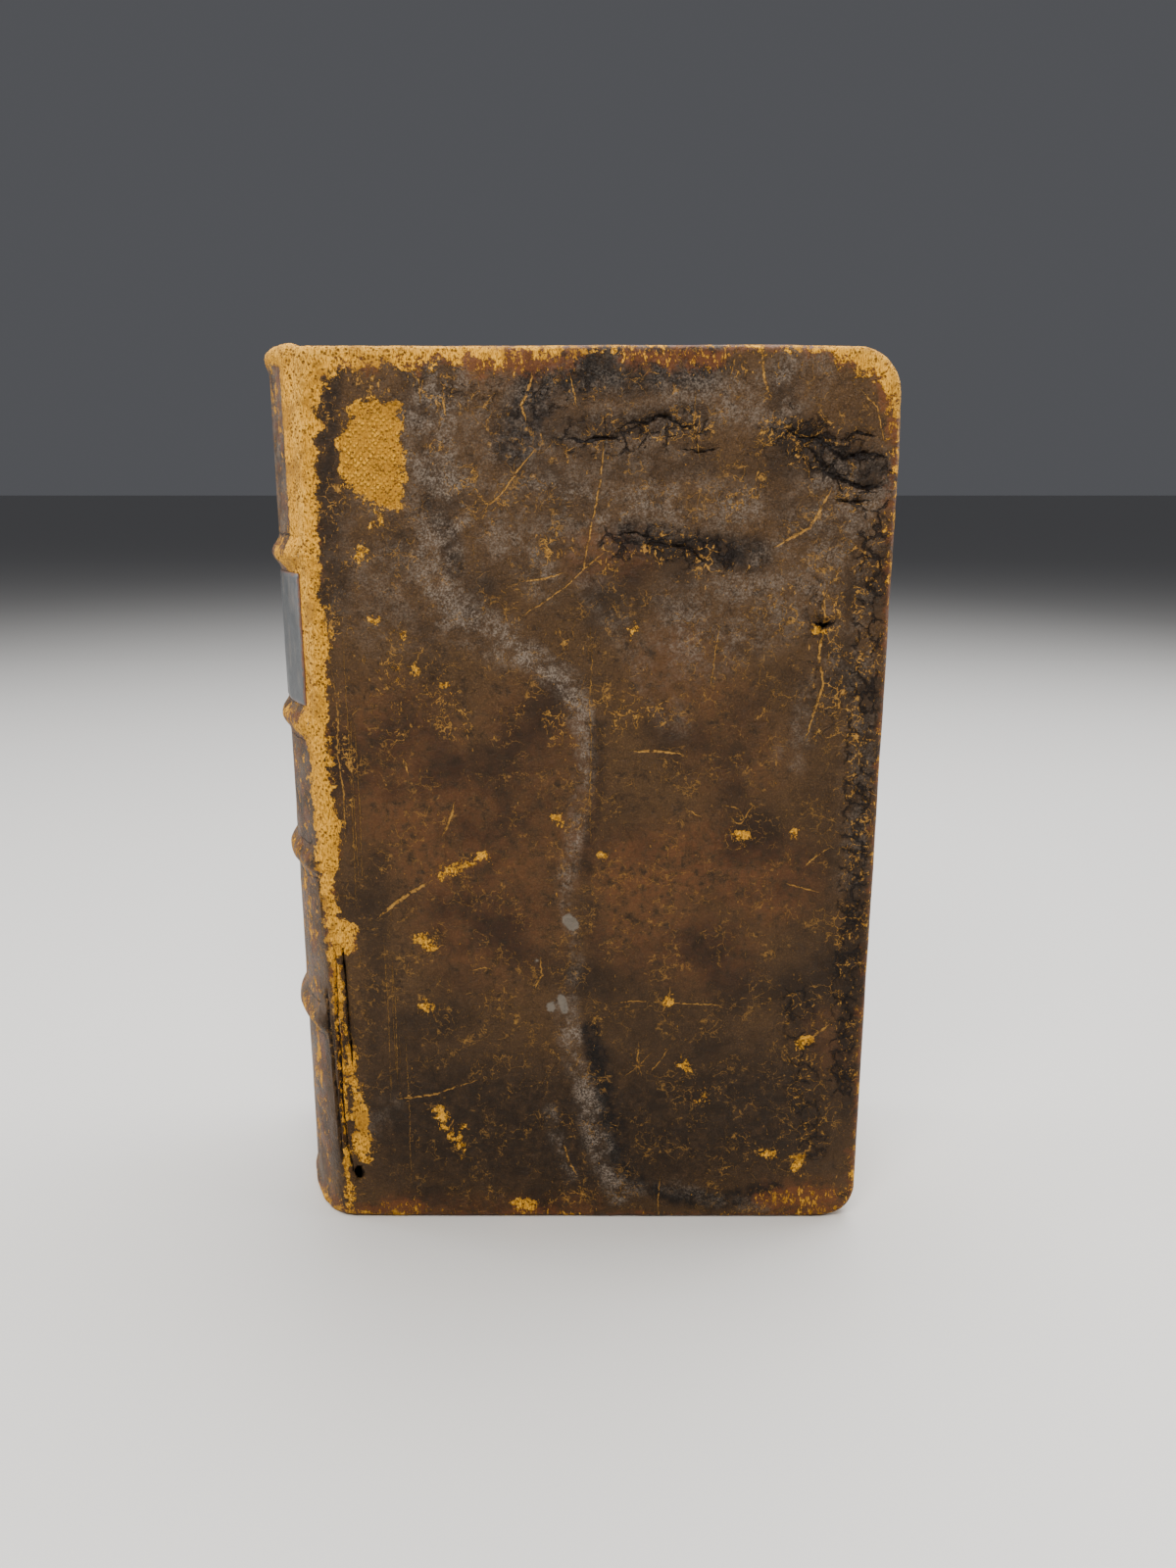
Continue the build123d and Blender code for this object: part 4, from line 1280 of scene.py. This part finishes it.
def twisted_hemp():
    """Twisted and frayed hemp of the sewing cords and their slips."""
    material, do = new_material("Twisted hemp")
    strand = do.add("ShaderNodeTexWave", {"Vector": do.place((0.5, 1, 1), (radians(35), 0, 0)), "Scale": 0.32,
                    "Distortion": 3.0, "Detail": 3.0}, bands_direction="Y").outputs["Fac"]
    fibre = do.noise(do.place((1, 1, 2)), 0.4, 5, 0.7)
    colour = do.blend(do.between(strand, 0.1, 0.6), HEMP_SHADOW, shade("hemp"))
    colour = do.blend(do.between(fibre, 0.45, 0.7, 0.0, 0.5), colour, FRAYED_HEMP)
    normal = do.bump(do.maths("ADD", strand, fibre), 0.2)
    do.surface(Base_Color=colour, Roughness=0.9, Normal=normal, Specular_IOR_Level=0.2)
    return material


def wound_thread():
    """Two colours of thread wound side by side over the endbands' cores."""
    material, do = new_material("Wound thread")
    turns = do.add("ShaderNodeTexWave", {"Vector": do.place((0, 1, 0)), "Scale": 0.35, "Distortion": 0.3},
                   bands_direction="Y").outputs["Fac"]
    pairs = do.add("ShaderNodeTexWave", {"Vector": do.place((0, 1, 0)), "Scale": 0.058, "Distortion": 0.2},
                   bands_direction="Y").outputs["Fac"]
    colour = do.blend(do.between(pairs, 0.46, 0.54), shade("thread"), shade("thread_second"))
    # Painted shade between the turns of thread.
    colour = do.blend(do.between(turns, 0.35, 0.0, 0.0, 0.7), colour, THREAD_GAP_SHADE)
    grime = do.noise(do.place(), 2.0, 4, 0.65)
    colour = do.blend(do.between(grime, 0.45, 0.7, 0.0, 0.5), colour, THREAD_GRIME)
    do.surface(Base_Color=colour, Roughness=0.75, Normal=do.bump(turns, 0.25), Specular_IOR_Level=0.3)
    return material


def plain_floor():
    """Pale matt floor."""
    material, do = new_material("Studio floor")
    do.surface(Base_Color=shade("floor"), Roughness=0.55)
    return material


def dress_nodes(names, material):
    """Gives CAD nodes that stay on show their material."""
    for name in names:
        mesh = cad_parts[name].data
        mesh.materials.clear()
        mesh.materials.append(material)


# ---- Operators -----------------------------------------------------------------------------------
def cover_columns(side, gap):
    """Places across one cover's hide, from the seam on the spine to the turned-in fore-edge."""
    roll = size("edge_roll")
    rim, margin = COVER_DEPTH + ROLL_END, COVER_DEPTH + size("turn_in")
    face = [(SEAM, gap), (JOINT_FROM, JOINT_GAP), (JOINT_TO, gap), (FACE_LENGTH - roll, ROLL_GAP)]
    across = spaced(*face, (FACE_LENGTH + rim, TURN_IN_GAP), (FACE_LENGTH + margin, END))
    across = [SPINE_ARC + u for u in across]
    return across if side > 0 else [-s for s in reversed(across)]


class BOOK_OT_front_hide(bpy.types.Operator):
    """Makes the front cover's hide with every mark of its age"""

    bl_idname = "book.front_hide"
    bl_label = "Front cover's hide"

    def execute(self, context):
        gap = size("front_grid")
        piece = hide_piece("front_hide", cover_columns(1, gap), gap, 1, front_marks, front_relief)
        finish_piece(piece, worn_leather(), ["front_cover_leather"])
        bend_at_joint(piece)
        return {"FINISHED"}


class BOOK_OT_back_hide(bpy.types.Operator):
    """Makes the back cover's hide"""

    bl_idname = "book.back_hide"
    bl_label = "Back cover's hide"

    def execute(self, context):
        gap = size("back_grid")
        piece = hide_piece("back_hide", cover_columns(-1, gap), gap, -1, back_marks, back_relief)
        finish_piece(piece, bpy.data.materials[HIDE_FINISH], ["back_cover_leather"])
        bend_at_joint(piece)
        return {"FINISHED"}


class BOOK_OT_spine_hide(bpy.types.Operator):
    """Makes the spine's hide with its raised bands and headcaps"""

    bl_idname = "book.spine_hide"
    bl_label = "Spine's hide"

    def execute(self, context):
        gap = size("spine_grid")
        half = SPINE_ARC + SEAM
        piece = hide_piece("spine_hide", spaced((-half, gap), (half, END)), gap, 0, None, None)
        finish_piece(piece, bpy.data.materials[HIDE_FINISH], ["spine_leather"], LEAVES)
        return {"FINISHED"}


class BOOK_OT_label(bpy.types.Operator):
    """Makes the thin leather label on the second panel of the spine"""

    bl_idname = "book.label"
    bl_label = "Spine label"

    def execute(self, context):
        half = SPINE_RADIUS * asin(label_high.y / SPINE_RADIUS)
        edge, edge_gap, gap = 0.9, 0.3, size("spine_grid")
        columns = spaced((-half, edge_gap), (edge - half, gap), (half - edge, edge_gap), (half, END))
        rows = spaced((label_low.z, edge_gap), (label_low.z + edge, gap),
                      (label_high.z - edge, edge_gap), (label_high.z, END))
        sheet = blank(columns, rows)
        flat = np.array([v.co for v in sheet.verts], float)
        s, z = flat[:, 0], flat[:, 1]
        inset = np.min([half - np.abs(s), z - label_low.z, label_high.z - z], axis=0)
        places, _ = fold(s, z)
        pared = 0.25 + 0.75 * step(inset, 0, 0.6)  # the label is thinner at its edges
        rise = size("label_rise") * pared + 0.02 + 0.05 * cloud(s, 0 * s, z, 7, 131, 3)
        relief = spine_relief(s, z) + rise
        for vert, place in zip(sheet.verts, places):
            vert.co = place
        sheet.normal_update()
        for vert, height in zip(sheet.verts, relief):
            vert.co += vert.normal * float(height)
        bare = sheet.verts.layers.float.new("bare")
        sunk_depth, rubbed_edge = 0.4, 0.35  # it reaches a little into the spine's hide
        for vert, index, _ in thicken(sheet, sunk_depth):
            vert[bare] = rubbed_edge - float(inset[index])
        piece = finish_mesh(sheet, "spine_label_leather")
        finish_piece(piece, label_leather(), ["spine_label"], LEAVES)
        return {"FINISHED"}


class BOOK_OT_papers(bpy.types.Operator):
    """Dresses the leaves, the endpapers and the spine's linings"""

    bl_idname = "book.papers"
    bl_label = "Leaves and papers"

    def execute(self, context):
        dress_nodes(["text_block"], leaf_edges())
        endpaper = old_paper("Endpaper", shade("paper"), wear("foxing"))
        dress_nodes(["front_flyleaf", "back_flyleaf", "front_pastedown", "back_pastedown"], endpaper)
        linings = [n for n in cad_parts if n.startswith("spine_lining")]
        dress_nodes(linings, old_paper("Lining paper", shade("leaf"), 0.2))
        return {"FINISHED"}


class BOOK_OT_boards_and_sewing(bpy.types.Operator):
    """Dresses the boards, the sewing cords with their slips, and the endbands"""

    bl_idname = "book.boards_and_sewing"
    bl_label = "Boards and sewing"

    def execute(self, context):
        dress_nodes(["front_board", "back_board"], pasteboard())
        dress_nodes([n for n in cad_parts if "cord" in n], twisted_hemp())
        dress_nodes(["headband", "tailband"], wound_thread())
        return {"FINISHED"}


class BOOK_OT_hinge_papers(bpy.types.Operator):
    """Makes the strip of each endpaper that folds into the joint, from flyleaf to pastedown"""

    bl_idname = "book.hinge_papers"
    bl_label = "Endpaper folds"

    def execute(self, context):
        endpaper = bpy.data.materials["Endpaper"]
        for side, cover, name in ((1, FRONT, "front_endpaper_fold"), (-1, BACK, "back_endpaper_fold")):
            top = Vector((fly_low.x, side * fly_high.y, 0))
            down, across = Vector((-1, -side, 0)).normalized(), Vector((1, -side, 0)).normalized()
            reach = (-text_low.y + fly_high.y) * sqrt(2)
            on_leaves, on_board, lift = 0.12, 0.36, (paste_high.y - fly_high.y) * 1.3
            loop, gap, tucked = 0.5, 0.7, 0.4
            sinks = spaced((0, gap), (reach - loop, END))
            climbs = spaced((reach - loop, gap), (-lift * sqrt(2) - on_board, END))
            legs = [top + across * on_leaves + down * depth for depth in sinks]
            legs.append(top + across * (on_leaves + on_board) / 2 + down * (reach - loop / 2))
            legs += [top + across * on_board + down * depth for depth in climbs]
            legs.append(Vector((paste_low.x + tucked, legs[-1].y, 0)))
            sheet = blank(range(len(legs)), spaced((paste_low.z, 6), (paste_high.z, END)))
            for vert in sheet.verts:
                at = legs[round(vert.co.x)]
                vert.co = (at.x, at.y, vert.co.y)
            sheet.normal_update()
            bmesh.ops.solidify(sheet, geom=sheet.faces[:], thickness=size("fold_thickness"))
            bmesh.ops.recalc_face_normals(sheet, faces=sheet.faces[:])
            piece = finish_mesh(sheet, name)
            piece.data.materials.append(endpaper)
            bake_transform(piece)
        return {"FINISHED"}


# ---- The studio, in metres and watts -------------------------------------------------------------
FOCAL = 0.7513  # the lens's focal length as a share of the picture's long side
PITCH = radians(14.1)  # how far the camera looks down
EYE = (4.2, -294.5, 180.4)  # the camera's place in millimetres
FLOOR_REACH = 30
WHITE, WARM_WHITE = (1, 1, 1), (1, 0.96, 0.9)
SKY, SKY_STRENGTH = (0.9, 0.92, 1.0, 1), 0.10
# Name, place, width, height, power and tint.
LIGHTS = (
    ("key", (-0.05, -0.40, 0.62), 0.4, 0.2, 7.2, WARM_WHITE),
    ("top", (0.1, 0.3, 1.0), 1.0, 0.8, 26, WHITE),
    ("left", (-1.0, 0.15, 0.45), 0.5, 0.7, 9, WHITE),
    ("right", (0.95, 0.3, 0.5), 0.5, 0.7, 10, WHITE),
)


def soft_light(aim, name, place, width, height, power, tint):
    """A rectangular studio light."""
    lamp = bpy.data.lights.new(name, "AREA")
    lamp.shape = "RECTANGLE"
    lamp.size, lamp.size_y, lamp.energy, lamp.color = width, height, power, tint
    holder = bpy.data.objects.new(name, lamp)
    bpy.context.scene.collection.objects.link(holder)
    holder.location = place
    holder.rotation_euler = (Vector(aim) - Vector(place)).to_track_quat("-Z", "Y").to_euler()
    return holder


class BOOK_OT_stage(bpy.types.Operator):
    """Sets the pale floor, the soft lights and the camera"""

    bl_idname = "book.stage"
    bl_label = "Studio"

    def execute(self, context):
        sheet = bmesh.new()
        bmesh.ops.create_grid(sheet, x_segments=2, y_segments=2, size=FLOOR_REACH / MM)
        floor = finish_mesh(sheet, "floor")
        floor.data.materials.append(plain_floor())
        middle = (0, 0, HEIGHT * MM / 2)
        for light in LIGHTS:
            soft_light(middle, *light)
        world = bpy.data.worlds.new("Studio")
        world.use_nodes = True
        sky = world.node_tree.nodes["Background"].inputs
        sky["Color"].default_value = SKY
        sky["Strength"].default_value = SKY_STRENGTH
        context.scene.world = world
        lens = bpy.data.cameras.new("camera")
        lens.sensor_width, lens.lens = 36, 36 * FOCAL
        camera = bpy.data.objects.new("camera", lens)
        context.scene.collection.objects.link(camera)
        camera.location = Vector(EYE) * MM
        camera.rotation_euler = (radians(90) - PITCH, 0, 0)
        context.scene.camera = camera
        return {"FINISHED"}


class BOOK_PT_panel(bpy.types.Panel):
    """Lists the book's steps, sizes, colours and age"""

    bl_idname = "BOOK_PT_panel"
    bl_label = "Antique book"
    bl_space_type = "VIEW_3D"
    bl_region_type = "UI"
    bl_category = "Book"

    def draw(self, context):
        for operator in OPERATORS:
            self.layout.operator(operator.bl_idname)
        for group in (context.scene.book_sizes, context.scene.book_colours, context.scene.book_wear):
            box = self.layout.box()
            for name in group.__annotations__:
                box.prop(group, name)


OPERATORS = (BOOK_OT_stage, BOOK_OT_front_hide, BOOK_OT_back_hide, BOOK_OT_spine_hide, BOOK_OT_label,
             BOOK_OT_papers, BOOK_OT_hinge_papers, BOOK_OT_boards_and_sewing)
CLASSES = (BookSizes, BookColours, BookWear, *OPERATORS, BOOK_PT_panel)


def register():
    """Adds the classes and the scene's settings."""
    for kind in CLASSES:
        bpy.utils.register_class(kind)
    bpy.types.Scene.book_sizes = PointerProperty(type=BookSizes)
    bpy.types.Scene.book_colours = PointerProperty(type=BookColours)
    bpy.types.Scene.book_wear = PointerProperty(type=BookWear)


def unregister():
    """Takes them away again."""
    del bpy.types.Scene.book_wear
    del bpy.types.Scene.book_colours
    del bpy.types.Scene.book_sizes
    for kind in reversed(CLASSES):
        bpy.utils.unregister_class(kind)


def main():
    """Makes the whole book."""
    register()
    for operator in OPERATORS:
        _, name = operator.bl_idname.split(".")
        getattr(bpy.ops.book, name)()


if __name__ == "__main__":
    main()
